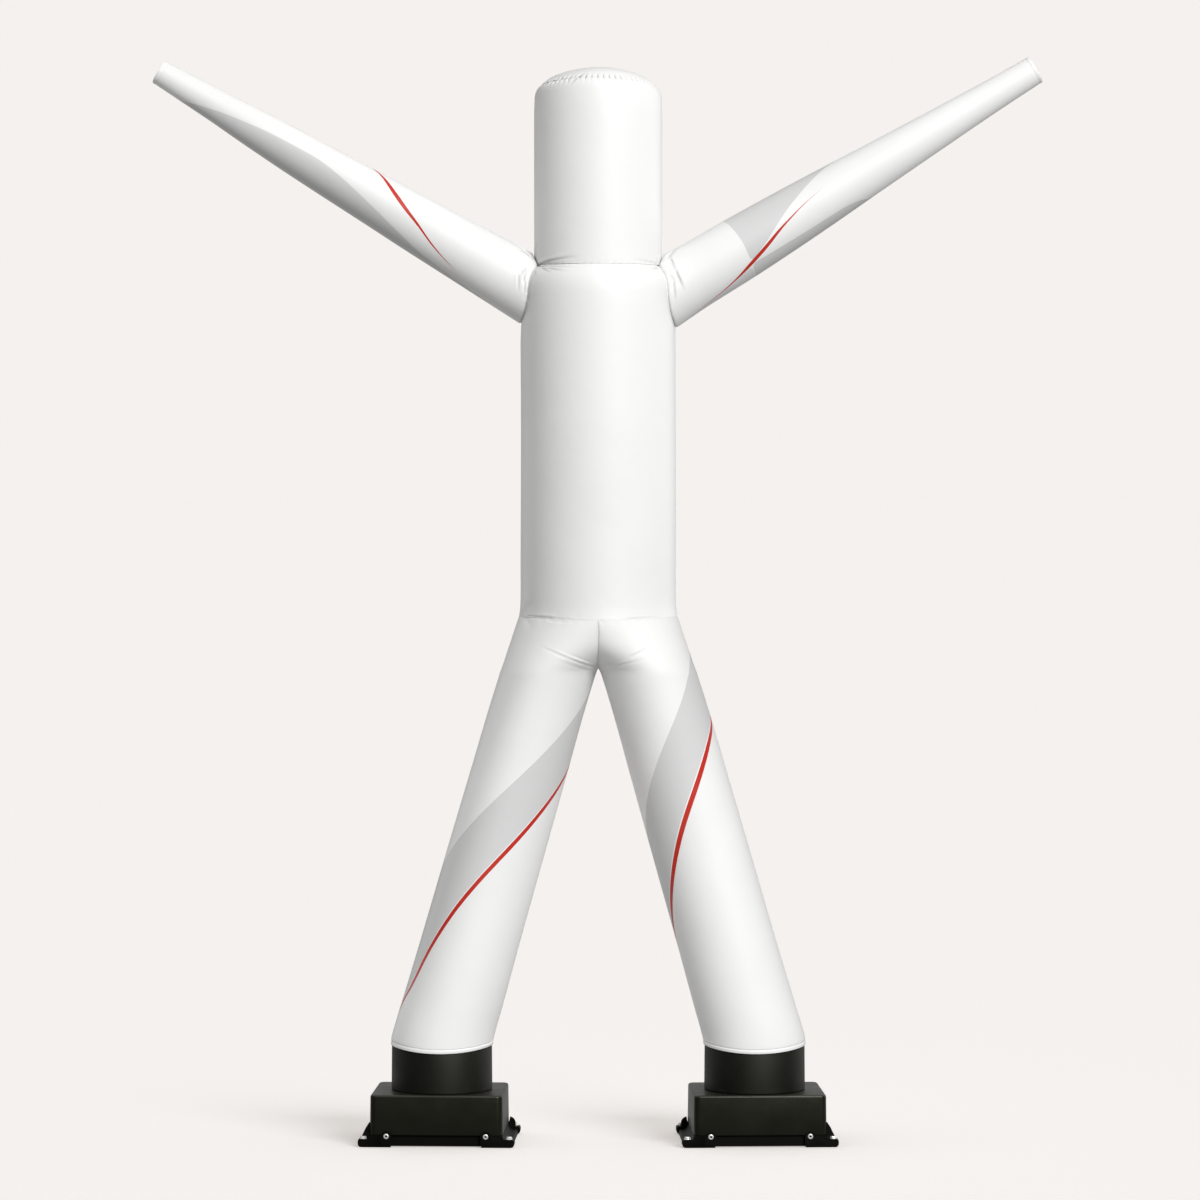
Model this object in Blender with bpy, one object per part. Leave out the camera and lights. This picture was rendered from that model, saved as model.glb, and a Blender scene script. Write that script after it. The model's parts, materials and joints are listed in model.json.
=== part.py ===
"""Inflatable air dancer: seven sewn cloth pieces held up by air, standing on two blowers.

Metres, +Z up, -Y is the front. The origin lies on the floor, midway between the two blowers.
Heights are measured from the top of the bases' feet, and build() puts everything on those feet.
Each cloth piece is the filled shape that the air gives it, cut off at its seams, and pieces that are
sewn together are GAP apart. "left" is the side at -X.
"""

import math
from collections import namedtuple

import bmesh
import bpy
import numpy as np
from mathutils import Vector

# ---------------------------------------------------------------- driving dimensions
GAP = 0.0003                    # between pieces that touch
SEGMENTS = 60                   # points round the head and the torso
GATHERS = SEGMENTS              # small gathers along the cap seam
SIDES = {"left": -1, "right": 1}

FEET = 0.009                    # height of the bases' feet; all other heights start at their top
HIP_SEAM = 2.406                # seam heights
NECK_SEAM = 4.012
CAP_SEAM = 4.838
CAP_SEAM_LIFT = 0.024           # how much higher the cap seam runs at front and back
CROTCH = 2.16
HIP_RADIUS = 0.3640
NECK_RADIUS = 0.2898

GATHER_DEPTH = 0.0045           # inward pull between two gathers
GATHER_REACH = 0.022            # how far a gather runs away from the seam
LIFT_START = 4.60               # height where the head starts to follow the cap seam's lift

RING_X = 0.720                  # from the middle to an outlet ring's axis
RING_RADIUS = 0.230
RING_TOP = 0.470
RING_FOOT = (0.005, 0.008)      # inset and height of the bevel at the ring's foot
RING_RIM = 0.004                # bevel of the ring's upper edge
HEM_HEIGHT = 0.435              # hem of a leg, at the sides of the outlet ring
HEM_DIP = 0.016                 # how much lower the hem hangs at front and back

BLOWER_X = 0.729                # from the middle to a housing's middle
BLOWER_YAW = math.radians(2.4)  # each blower is turned a little, its back towards the middle
HOUSING_TOP = 0.228
HOUSING_BOTTOM = 0.045
HOUSING_HALF = (0.304, 0.250)   # half width and half depth at the bottom edge
HOUSING_DRAFT = 0.0020          # how much each side leans in up to the top
HOUSING_CORNER = 0.028          # radius of the upright edges
HOUSING_FILLET = 0.014          # radius of the edge round the top
RAIL_INSIDE = 0.207             # inner edge of a base's side rail, under the housing
RAIL_REACH = 0.042              # how far the rail's flange stands out from the housing
PLINTH_HALF = (0.217, 0.235)    # set-back middle of the base, between its rails
PLINTH_CORNER = 0.004
PLINTH_CLEAR = 0.003            # height of the middle over the floor
SUNK = 0.0005                   # how far shapes that become one piece reach into each other
FLANGE_THICK = 0.014
FLANGE_EDGE = 0.004             # bevel of the flange's outer edge
FLANGE_SWEEP = 0.028            # radius of the hollow that runs from the flange up to the housing
LUG_REACH = 0.053               # how far a corner lug stands out from the housing
LUG_HEIGHT = 0.028
LUG_LENGTH = 0.060
LUG_FRONT = 0.2592              # outer face of a lug, from the blower's middle
LUG_TOP_CORNER = 0.010
LUG_FOOT_CORNER = 0.016
LUG_SLOPE = 0.004               # width of the short slope from a lug's top up to the housing
EAR_THICK = 0.0095              # upright ear of a lug, behind the screw
EAR_RADIUS = 0.024
EAR_FOOT = 0.004                # height where the ear starts, inside the lug
SCREW_X = 0.227
SCREW_Z = 0.041
SCREW_RADIUS = 0.0145
SCREW_HEIGHT = 0.006
SCREW_SOCKET = 0.0045           # radius of the socket
BOLT_RADIUS = 0.016
BOLT_HEIGHT = 0.011
BOLT_INSET = (0.024, 0.0185)    # from a lug's end and from its outer face to its bolt's axis
GUSSET_THICK = 0.011
GUSSET_FACE = 0.2225            # outer face of a gusset, from the blower's middle
GUSSET_FOOT = 0.012             # height where a gusset starts, and how far it stops short of the lug's end
GUSSET_TOP = 0.100
GUSSET_TOP_WIDTH = 0.004
GUSSET_WAIST = (0.018, 0.078)   # a point of the brace's slanted edge: out from the housing, and up
ARCH_RADIUS = 0.032             # round arch behind, on a rail's flange
ARCH_HEIGHT = 0.040             # height of its centre

Girth = namedtuple("Girth", "height radius")
TORSO = (
    Girth(HIP_SEAM, HIP_RADIUS), Girth(2.434, 0.3600), Girth(2.465, 0.3574), Girth(2.540, 0.3556),
    Girth(3.120, 0.3556), Girth(3.700, 0.3556), Girth(3.820, 0.3554), Girth(3.885, 0.3536),
    Girth(3.920, 0.3496), Girth(3.942, 0.3440), Girth(3.956, 0.3384), Girth(3.968, 0.3318),
    Girth(3.979, 0.3240), Girth(3.989, 0.3150), Girth(3.998, 0.3060), Girth(4.006, 0.2975),
    Girth(NECK_SEAM, NECK_RADIUS),
)
HEAD = (
    Girth(NECK_SEAM, NECK_RADIUS), Girth(4.022, 0.2906), Girth(4.040, 0.2910),
    Girth(4.066, 0.2911), Girth(4.100, 0.2912), Girth(4.330, 0.2912),
    Girth(4.560, 0.2912), Girth(4.740, 0.2912), Girth(4.778, 0.2898), Girth(4.804, 0.2852),
    Girth(4.823, 0.2770), Girth(CAP_SEAM, 0.2630),
)
FINE_HEAD_ROWS = 4              # rows of HEAD, from the top, that have two points a gather
CAP = (
    Girth(CAP_SEAM, 0.2630), Girth(4.852, 0.2480), Girth(4.872, 0.2210), Girth(4.890, 0.1830),
    Girth(4.904, 0.1350), Girth(4.915, 0.0700),
)
FINE_CAP_ROWS = 3
CAP_APEX = 4.920

# short creases; a turn is an angle from the front in degrees, positive towards +X
Crease = namedtuple("Crease", "turn_a height_a turn_b height_b width depth")
NECK_CREASES = (
    Crease(-69, 4.014, -19, 4.040, 0.0080, 0.0060),
    Crease(-60, 4.013, -20, 4.022, 0.0060, 0.0040),
    Crease(-68, 4.006, -25, 3.989, 0.0070, 0.0060),
    Crease(-66, 3.998, -26, 3.973, 0.0065, 0.0045),
    Crease(-64, 3.990, -38, 3.962, 0.0065, 0.0040),
    Crease(69, 4.012, 34, 4.030, 0.0080, 0.0030),
    Crease(68, 4.002, 40, 3.984, 0.0070, 0.0030),
)

# armhole folds; a turn is an angle round the arm from its top, positive over the front
Fold = namedtuple("Fold", "turn_a out_a turn_b out_b width depth")
ARM_FOLDS = {
    "left": (
        Fold(62, 0.026, 92, 0.028, 0.0080, 0.0060),
        Fold(82, 0.015, 110, 0.017, 0.0070, 0.0050),
        Fold(76, 0.058, 106, 0.042, 0.0090, 0.0050),
    ),
    "right": (
        Fold(44, 0.010, 103, 0.060, 0.0085, 0.0060),
        Fold(84, 0.018, 110, 0.026, 0.0070, 0.0050),
    ),
}

Arm = namedtuple("Arm", "seam_x seam_z cuff_x cuff_z")
ARMS = {
    "left": Arm(-0.327, 3.908, -2.014, 4.902),
    "right": Arm(0.327, 3.897, 2.002, 4.912),
}
ARM_SEGMENTS = 32
ARMHOLE_SKEW = 0.052            # the armhole runs this much further out at its top than at its middle
SKEW_REACH = 0.40               # where along the arm the rows are square to it again
CUFF_WALL = 0.003
CUFF_DEPTH = 0.120              # open depth of the cuff
ArmGirth = namedtuple("ArmGirth", "reach left right")
ARM_GIRTHS = (
    ArmGirth(0.00, 0.1540, 0.1590), ArmGirth(0.08, 0.1480, 0.1495), ArmGirth(0.19, 0.1390, 0.1460),
    ArmGirth(0.30, 0.1310, 0.1380), ArmGirth(0.41, 0.1210, 0.1270), ArmGirth(0.52, 0.1120, 0.1135),
    ArmGirth(0.63, 0.1020, 0.1005), ArmGirth(0.74, 0.0890, 0.0885), ArmGirth(0.85, 0.0735, 0.0770),
    ArmGirth(0.93, 0.0650, 0.0705), ArmGirth(1.00, 0.0575, 0.0660),
)
ARM_ROOT_ROWS = (-0.095, -0.005, 0.010, 0.020, 0.030, 0.042, 0.056, 0.075, 0.110)  # from the armhole
ARM_OUTER_ROWS = (0.14, 0.24, 0.36, 0.50, 0.64, 0.78, 0.89)     # as fractions of the arm's length

# one leg with its half of the seat, for the side at +X; sections are ellipses cut off at the centre seam
LegGirth = namedtuple("LegGirth", "height centre half_width half_depth")
LEG = (
    LegGirth(HEM_HEIGHT, 0.7200, 0.2345, 0.2345), LegGirth(0.475, 0.7150, 0.2365, 0.2350),
    LegGirth(0.550, 0.6925, 0.2362, 0.2335), LegGirth(0.660, 0.6605, 0.2348, 0.2330),
    LegGirth(0.914, 0.5880, 0.2305, 0.2335), LegGirth(1.280, 0.4835, 0.2272, 0.2365),
    LegGirth(1.650, 0.3778, 0.2242, 0.2520), LegGirth(2.018, 0.2720, 0.2215, 0.2960),
    LegGirth(2.110, 0.2430, 0.2212, 0.3128), LegGirth(CROTCH, 0.2258, 0.2222, 0.3220),
    LegGirth(2.182, 0.2130, 0.2268, 0.3258), LegGirth(2.204, 0.1985, 0.2337, 0.3297),
    LegGirth(2.226, 0.1835, 0.2415, 0.3336), LegGirth(2.248, 0.1660, 0.2515, 0.3374),
    LegGirth(2.270, 0.1470, 0.2628, 0.3413), LegGirth(2.292, 0.1260, 0.2762, 0.3452),
    LegGirth(2.314, 0.1035, 0.2915, 0.3491), LegGirth(2.336, 0.0800, 0.3080, 0.3530),
    LegGirth(2.360, 0.0500, 0.3300, 0.3572), LegGirth(2.382, 0.0220, 0.3505, 0.3608),
    LegGirth(2.396, 0.0070, 0.3605, 0.3628), LegGirth(HIP_SEAM, 0.0, HIP_RADIUS, HIP_RADIUS),
)
OUTER_POINTS = 32               # points of a leg's section over the outside
INNER_POINTS = 8                # points that face the other leg
INNER_SPREAD = math.radians(36)

# seat creases as the front shows them: x is outward from the centre seam
SeatCrease = namedtuple("SeatCrease", "x_a height_a x_b height_b width depth")
SEAT_CREASES = {
    "left": (
        SeatCrease(0.030, 2.176, 0.170, 2.236, 0.0130, 0.0070),
        SeatCrease(0.170, 2.236, 0.276, 2.282, 0.0130, 0.0040),
        SeatCrease(0.060, 2.158, 0.170, 2.206, 0.0120, 0.0040),
    ),
    "right": (
        SeatCrease(0.024, 2.181, 0.120, 2.218, 0.0130, 0.0040),
        SeatCrease(0.155, 2.236, 0.256, 2.290, 0.0130, 0.0030),
    ),
}

COLOURS = {                     # colour, roughness, metallic
    "cloth": ((0.86, 0.86, 0.87), 0.45, 0.0),
    "black_plastic": ((0.016, 0.016, 0.015), 0.38, 0.0),
    "black_ring": ((0.014, 0.014, 0.013), 0.42, 0.0),
    "plated_steel": ((0.62, 0.62, 0.60), 0.30, 1.0),
}


# ---------------------------------------------------------------- helpers
def clear_scene():
    for thing in list(bpy.data.objects):
        bpy.data.objects.remove(thing, do_unlink=True)


def make_material(name):
    colour, roughness, metallic = COLOURS[name]
    material = bpy.data.materials.new(name)
    material.use_nodes = True
    shader = material.node_tree.nodes["Principled BSDF"]
    shader.inputs["Base Color"].default_value = (*colour, 1.0)
    shader.inputs["Roughness"].default_value = roughness
    shader.inputs["Metallic"].default_value = metallic
    return material


def add_object(name, mesh, material, parent=None):
    """Names a mesh as one sub-part, shades it and parents it."""
    thing = bpy.data.objects.new(name, mesh)
    bpy.context.scene.collection.objects.link(thing)
    if not mesh.materials:
        mesh.materials.append(material)
        mesh.shade_smooth()
        mesh.set_sharp_from_angle(angle=math.radians(38))
    thing.parent = parent
    return thing


def join_rows(mesh, short, long):
    """Skins the strip between two rows: a fan at a pole, quads, or one point against two."""
    if len(short) > len(long):
        short, long = long, short
    count = len(short)
    for i in range(len(long)):
        j = (i + 1) % len(long)
        if count == 1:
            mesh.faces.new((short[0], long[i], long[j]))
        elif count == len(long):
            mesh.faces.new((short[i], short[j], long[j], long[i]))
        elif i % 2 == 0:
            near, far = short[i // 2], short[(i // 2 + 1) % count]
            after = long[(i + 2) % len(long)]
            mesh.faces.new((near, long[i], long[j]))
            mesh.faces.new((near, long[j], far))
            mesh.faces.new((far, long[j], after))


def skin(name, rows):
    """Closed mesh over rows of points, from a pole to a pole."""
    mesh = bmesh.new()
    placed = [[mesh.verts.new(point) for point in row] for row in rows]
    for one, other in zip(placed, placed[1:]):
        join_rows(mesh, one, other)
    return finish_mesh(mesh, name)


def finish_mesh(mesh, name):
    bmesh.ops.recalc_face_normals(mesh, faces=mesh.faces)
    data = bpy.data.meshes.new(name)
    mesh.to_mesh(data)
    mesh.free()
    return data


def combine(name, first, others, operation):
    """Unites a mesh with others, or cuts them from it, and returns the result as one mesh."""
    helpers = [bpy.data.objects.new("helper", data) for data in (first, *others)]
    for helper in helpers:
        bpy.context.scene.collection.objects.link(helper)
    for other in helpers[1:]:
        step = helpers[0].modifiers.new(operation.lower(), "BOOLEAN")
        step.operation = operation
        step.object = other
    ready = helpers[0].evaluated_get(bpy.context.evaluated_depsgraph_get())
    result = bpy.data.meshes.new_from_object(ready)
    result.name = name
    for helper in helpers:
        bpy.data.objects.remove(helper, do_unlink=True)
    return result


def turns(count):
    """Angles from the front, once round, starting at the back."""
    return np.linspace(-math.pi, math.pi, count, endpoint=False)


def trough(marks, across, along):
    """Depth of straight soft creases at points given by two lengths; a mark is (a, b, width, depth)."""
    total = np.zeros(np.broadcast(across, along).shape)
    for (ax, ay), (bx, by), width, depth in marks:
        dx, dy = bx - ax, by - ay
        share = np.clip(((across - ax) * dx + (along - ay) * dy) / (dx * dx + dy * dy), 0.0, 1.0)
        apart = np.hypot(across - ax - share * dx, along - ay - share * dy)
        total = np.maximum(total, depth * np.exp(-(apart / width) ** 2))
    return total


# ---------------------------------------------------------------- head and torso
def body_row(girth, count, gather=0.0, lift=0.0, shift=0.0):
    """One row of points round the upright axis, with the gathers' pull, the seam's lift and creases."""
    turn = turns(count)
    radius = girth.radius - gather * (0.5 - 0.5 * np.cos(GATHERS * turn))
    marks = [((math.radians(c.turn_a) * girth.radius, c.height_a),
              (math.radians(c.turn_b) * girth.radius, c.height_b), c.width, c.depth) for c in NECK_CREASES]
    radius = radius - trough(marks, turn * girth.radius, np.full(count, girth.height))
    share = radius / HEAD[-1].radius
    height = girth.height + shift + lift * np.cos(turn) ** 2 * share
    return np.stack([radius * np.sin(turn), -radius * np.cos(turn), height], axis=1)


def gather_at(girth):
    """Gathers fade out within GATHER_REACH of the cap seam."""
    slant = math.hypot(girth.height - CAP_SEAM, girth.radius - HEAD[-1].radius)
    return GATHER_DEPTH * math.exp(-(slant / GATHER_REACH) ** 2)


def lift_at(girth):
    """The cap seam's lift fades out towards the cap's middle and down the head."""
    low, high = LIFT_START, CAP_APEX
    share = min((girth.height - low) / (CAP_SEAM - low), (high - girth.height) / (high - CAP_SEAM))
    return CAP_SEAM_LIFT * max(0.0, share)


def pole(height):
    return np.array([(0.0, 0.0, height)])


def make_torso():
    rows = [body_row(girth, SEGMENTS) for girth in TORSO]
    rows[0][:, 2] += GAP / 2
    rows[-1][:, 2] -= GAP / 2
    return skin("torso", [pole(HIP_SEAM + GAP / 2), *rows, pole(NECK_SEAM - GAP / 2)])


def make_head_tube():
    rows = []
    for index, girth in enumerate(HEAD):
        fine = index >= len(HEAD) - FINE_HEAD_ROWS
        rows.append(body_row(girth, SEGMENTS * (2 if fine else 1), gather_at(girth), lift_at(girth)))
    rows[0][:, 2] += GAP / 2
    rows[-1][:, 2] -= GAP / 2
    return skin("head_tube", [pole(NECK_SEAM + GAP / 2), *rows, pole(CAP_SEAM - GAP / 2)])


def make_head_cap():
    rows = []
    for index, girth in enumerate(CAP):
        count = SEGMENTS * 2 if index < FINE_CAP_ROWS else SEGMENTS
        rows.append(body_row(girth, count, gather_at(girth), lift_at(girth)))
    rows[0][:, 2] += GAP / 2
    return skin("head_cap", [pole(CAP_SEAM + GAP / 2), *rows, pole(CAP_APEX)])


def make_armhole_cutter():
    """Torso and head as one turned body, GAP larger all round, which the arms are cut off at."""
    low = [girth for girth in TORSO if girth.height > 3.0]
    high = [girth for girth in HEAD[1:] if girth.height < 4.6]
    turn = turns(SEGMENTS)
    rows = [np.stack([(g.radius + GAP) * np.sin(turn), -(g.radius + GAP) * np.cos(turn),
                      np.full(SEGMENTS, g.height)], axis=1) for g in low + high]
    return skin("armhole_cutter", [pole(low[0].height), *rows, pole(high[-1].height)])


# ---------------------------------------------------------------- arms
def arm_row(side, distance, radius, square=0.0):
    """One row round an arm, at a distance from its armhole; square is 1 where rows are at right angles."""
    arm = ARMS[side]
    root = np.array([arm.seam_x, 0.0, arm.seam_z])
    reach = np.array([arm.cuff_x, 0.0, arm.cuff_z]) - root
    along = reach / np.linalg.norm(reach)
    up = np.array([-along[2], 0.0, along[0]]) * SIDES[side]
    front = np.array([0.0, -1.0, 0.0])
    turn = turns(ARM_SEGMENTS)
    marks = [((math.radians(f.turn_a) * radius, f.out_a), (math.radians(f.turn_b) * radius, f.out_b),
              f.width, f.depth) for f in ARM_FOLDS[side]]
    pulled = radius - trough(marks, turn * radius, np.full(ARM_SEGMENTS, distance))
    out = distance + ARMHOLE_SKEW * np.cos(turn) * (1.0 - square)
    return (root + np.outer(out, along) + np.outer(pulled * np.cos(turn), up)
            + np.outer(pulled * np.sin(turn), front))


def make_arm(side, cutter):
    arm = ARMS[side]
    length = math.hypot(arm.cuff_x - arm.seam_x, arm.cuff_z - arm.seam_z)
    reaches = [row.reach for row in ARM_GIRTHS]
    radii = [getattr(row, side) for row in ARM_GIRTHS]

    def row(distance):
        square = min(1.0, max(0.0, distance / SKEW_REACH))
        return arm_row(side, distance, float(np.interp(distance / length, reaches, radii)), square)

    mouth = radii[-1] - CUFF_WALL
    rows = [row(distance) for distance in ARM_ROOT_ROWS]
    rows += [row(share * length) for share in ARM_OUTER_ROWS]
    rows += [row(length), arm_row(side, length, mouth, 1.0),
             arm_row(side, length - CUFF_DEPTH, mouth, 1.0)]
    ends = [rows[0].mean(axis=0, keepdims=True), rows[-1].mean(axis=0, keepdims=True)]
    return combine(f"arm_{side}", skin(f"arm_{side}", [ends[0], *rows, ends[1]]), [cutter], "DIFFERENCE")


# ---------------------------------------------------------------- legs
def leg_row(side, height, centre, half_width, half_depth, shift=0.0, dip=0.0):
    """One section of a leg: an ellipse whose inner part is cut off flat at the centre seam."""
    seam_turn = math.acos(max(-1.0, -centre / half_width))
    split = min(seam_turn, math.pi - INNER_SPREAD)
    outside = np.linspace(-split, split, OUTER_POINTS, endpoint=False)
    inside = np.linspace(split, 2 * math.pi - split, INNER_POINTS, endpoint=False)
    turn = np.concatenate([outside, inside])
    x = centre + half_width * np.cos(turn)
    y = -half_depth * np.sin(turn)
    marks = [((c.x_a, c.height_a), (c.x_b, c.height_b), c.width, c.depth) for c in SEAT_CREASES[side]]
    pull = trough(marks, x, np.full(len(x), height)) * (y < 0)
    share = 1.0 - pull / np.hypot(x - centre, y)
    x = np.maximum(centre + (x - centre) * share, GAP / 2)
    z = height + shift - dip * (y / half_depth) ** 2
    return np.stack([x * SIDES[side], y * share, z], axis=1)


def make_leg(side):
    hem = LEG[0]
    inner = (RING_RADIUS + GAP) / math.cos(math.pi / (OUTER_POINTS + INNER_POINTS))
    roof = leg_row(side, RING_TOP + GAP, RING_X, inner, inner)
    mouth = leg_row(side, hem.height, RING_X, inner, inner, dip=HEM_DIP)
    rows = [roof, mouth, leg_row(side, *hem, dip=HEM_DIP)]
    rows += [leg_row(side, *girth) for girth in LEG[1:]]
    rows[-1][:, 2] -= GAP / 2
    ends = [row.mean(axis=0, keepdims=True) for row in (roof, rows[-1])]
    return skin(f"leg_{side}", [ends[0], *rows, ends[1]])


# ---------------------------------------------------------------- blowers
def rounded_rectangle(half_x, half_y, corner, height, steps=4):
    """Outline of a rectangle with round corners, at one height."""
    points = []
    for quarter in range(4):
        sign_x = 1 if quarter in (0, 3) else -1
        sign_y = 1 if quarter in (0, 1) else -1
        for step in range(steps + 1):
            turn = math.radians(90) * (quarter + step / steps)
            points.append((sign_x * (half_x - corner) + corner * math.cos(turn),
                           sign_y * (half_y - corner) + corner * math.sin(turn), height))
    return np.array(points)


def stack_rectangles(name, rows):
    """Solid over rounded rectangles of (half_x, half_y, corner, height)."""
    outlines = [rounded_rectangle(*row) for row in rows]
    ends = [outline.mean(axis=0, keepdims=True) for outline in (outlines[0], outlines[-1])]
    return skin(name, [ends[0], *outlines, ends[1]])


def make_housing():
    half_x, half_y = HOUSING_HALF
    shoulder = HOUSING_TOP - HOUSING_FILLET
    rows = [(half_x, half_y, HOUSING_CORNER, HOUSING_BOTTOM)]
    for step in range(4):
        turn = math.radians(30) * step
        inset = HOUSING_DRAFT + HOUSING_FILLET * (1 - math.cos(turn))
        rows.append((half_x - inset, half_y - inset, HOUSING_CORNER - inset * 0.6,
                     shoulder + HOUSING_FILLET * math.sin(turn)))
    return stack_rectangles("housing", rows)


def make_plinth():
    heights = (PLINTH_CLEAR - FEET, HOUSING_BOTTOM - GAP - SUNK)
    return stack_rectangles("plinth", [(*PLINTH_HALF, PLINTH_CORNER, height) for height in heights])


def turned(name, profile, count):
    """Solid turned about +Z from (radius, height) points, lowest first."""
    turn = turns(count)
    rows = [np.stack([r * np.sin(turn), -r * np.cos(turn), np.full(count, z)], axis=1) for r, z in profile]
    return skin(name, [pole(profile[0][1]), *rows, pole(profile[-1][1])])


def make_ring():
    low = HOUSING_TOP + GAP
    inset, height = RING_FOOT
    profile = [(RING_RADIUS - inset, low), (RING_RADIUS, low + height),
               (RING_RADIUS, RING_TOP - RING_RIM), (RING_RADIUS - RING_RIM, RING_TOP)]
    return turned("outlet_ring", profile, 48)


def make_screw():
    """Pan head with a round socket, its axis along +Z. The upright edge is a little under half its height."""
    profile = [(SCREW_RADIUS, 0.0), (SCREW_RADIUS, SCREW_HEIGHT * 0.45), (SCREW_RADIUS * 0.8, SCREW_HEIGHT),
               (SCREW_SOCKET, SCREW_HEIGHT), (SCREW_SOCKET, SCREW_HEIGHT * 0.4)]
    return turned("screw", profile, 12)


def make_bolt():
    """Low round head with a bevelled edge, its axis along +Z."""
    profile = [(BOLT_RADIUS, 0.0), (BOLT_RADIUS, BOLT_HEIGHT * 0.75), (BOLT_RADIUS * 0.86, BOLT_HEIGHT)]
    return turned("bolt", profile, 12)


def wall_x(height):
    """Outside of the housing's side wall at a height."""
    share = (height - HOUSING_BOTTOM) / (HOUSING_TOP - HOUSING_BOTTOM)
    return HOUSING_HALF[0] - HOUSING_DRAFT * share


def prism(name, outline, low_y, high_y):
    """Solid that carries an outline in X and Z along Y."""
    mesh = bmesh.new()
    faces = [[mesh.verts.new((x, y, z)) for x, z in outline] for y in (low_y, high_y)]
    for face in faces:
        mesh.faces.new(face)
    for i in range(len(outline)):
        j = (i + 1) % len(outline)
        mesh.faces.new((faces[0][i], faces[0][j], faces[1][j], faces[1][i]))
    return finish_mesh(mesh, name)


def arc(centre, radius, start, stop, steps):
    """Points on an arc, angles in degrees."""
    turns_deg = np.linspace(start, stop, steps + 1)
    return [(centre[0] + radius * math.cos(math.radians(t)), centre[1] + radius * math.sin(math.radians(t)))
            for t in turns_deg]


def across(low, high):
    """The Y range of a shape at the front, and the same shape's range at the back."""
    return (-high, -low), (low, high)


def rail_shapes(braced):
    """The shapes of a base's rail at +X: bar with its flange, two lugs, two ears, an arch behind and, on the
    side that has one, a slanted brace in front."""
    wall = HOUSING_HALF[0] + GAP
    edge = wall + RAIL_REACH
    tip = wall + LUG_REACH
    seat = HOUSING_BOTTOM - GAP
    upper = wall_x(GUSSET_TOP) + GAP
    flange = [(RAIL_INSIDE, -FEET), (edge, -FEET), (edge, FLANGE_THICK - FLANGE_EDGE),
              (edge - FLANGE_EDGE, FLANGE_THICK),
              *arc((wall + FLANGE_SWEEP, FLANGE_THICK + FLANGE_SWEEP), FLANGE_SWEEP, 270, 180, 5),
              (wall, seat), (RAIL_INSIDE, seat)]
    lug = [(RAIL_INSIDE, -FEET),
           *arc((tip - LUG_FOOT_CORNER, LUG_FOOT_CORNER - FEET), LUG_FOOT_CORNER, -90, 0, 4),
           *arc((tip - LUG_TOP_CORNER, LUG_HEIGHT - LUG_TOP_CORNER), LUG_TOP_CORNER, 0, 90, 3),
           (wall + LUG_SLOPE, LUG_HEIGHT), (wall + SUNK, seat - SUNK), (RAIL_INSIDE, seat - SUNK)]
    ear = [(SCREW_X - EAR_RADIUS, EAR_FOOT), (SCREW_X + EAR_RADIUS, EAR_FOOT),
           *arc((SCREW_X, SCREW_Z), EAR_RADIUS, 0, 180, 8)]
    brace = [(wall + SUNK * 2, GUSSET_FOOT), (tip - GUSSET_FOOT, GUSSET_FOOT),
             (tip - GUSSET_FOOT, LUG_HEIGHT + SUNK * 2),
             (wall + GUSSET_WAIST[0], GUSSET_WAIST[1]), (upper + GUSSET_TOP_WIDTH, GUSSET_TOP),
             (upper + SUNK, GUSSET_TOP), (wall + SUNK, HOUSING_BOTTOM)]
    arch = [(wall + SUNK * 2, GUSSET_FOOT), (wall + ARCH_RADIUS, GUSSET_FOOT),
            *arc((wall, ARCH_HEIGHT), ARCH_RADIUS, 0, 80, 7), (wall + SUNK, HOUSING_BOTTOM)]
    shapes = [prism("flange", flange, -HOUSING_HALF[1], HOUSING_HALF[1])]
    shapes += [prism("lug", lug, *span) for span in across(LUG_FRONT - LUG_LENGTH, LUG_FRONT)]
    ear_face = HOUSING_HALF[1] + GAP + EAR_THICK
    shapes += [prism("ear", ear, *span) for span in across(ear_face - EAR_THICK, ear_face)]
    front, back = across(GUSSET_FACE - GUSSET_THICK, GUSSET_FACE)
    shapes.append(prism("arch", arch, *back))
    if braced:
        shapes.append(prism("brace", brace, *front))
    return shapes


def make_base():
    """Moulded base under the blower at +X: a set-back plinth between two rails with corner lugs. The outer
    rail has a slanted brace, and the inner one hasn't."""
    inner = [mirrored(shape) for shape in rail_shapes(braced=False)]
    return combine("base", make_plinth(), rail_shapes(braced=True) + inner, "UNION")


def mirrored(mesh):
    """Copy of a mesh turned over from +X to -X."""
    work = bmesh.new()
    work.from_mesh(mesh)
    for vert in work.verts:
        vert.co.x = -vert.co.x
    return finish_mesh(work, mesh.name)


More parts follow.
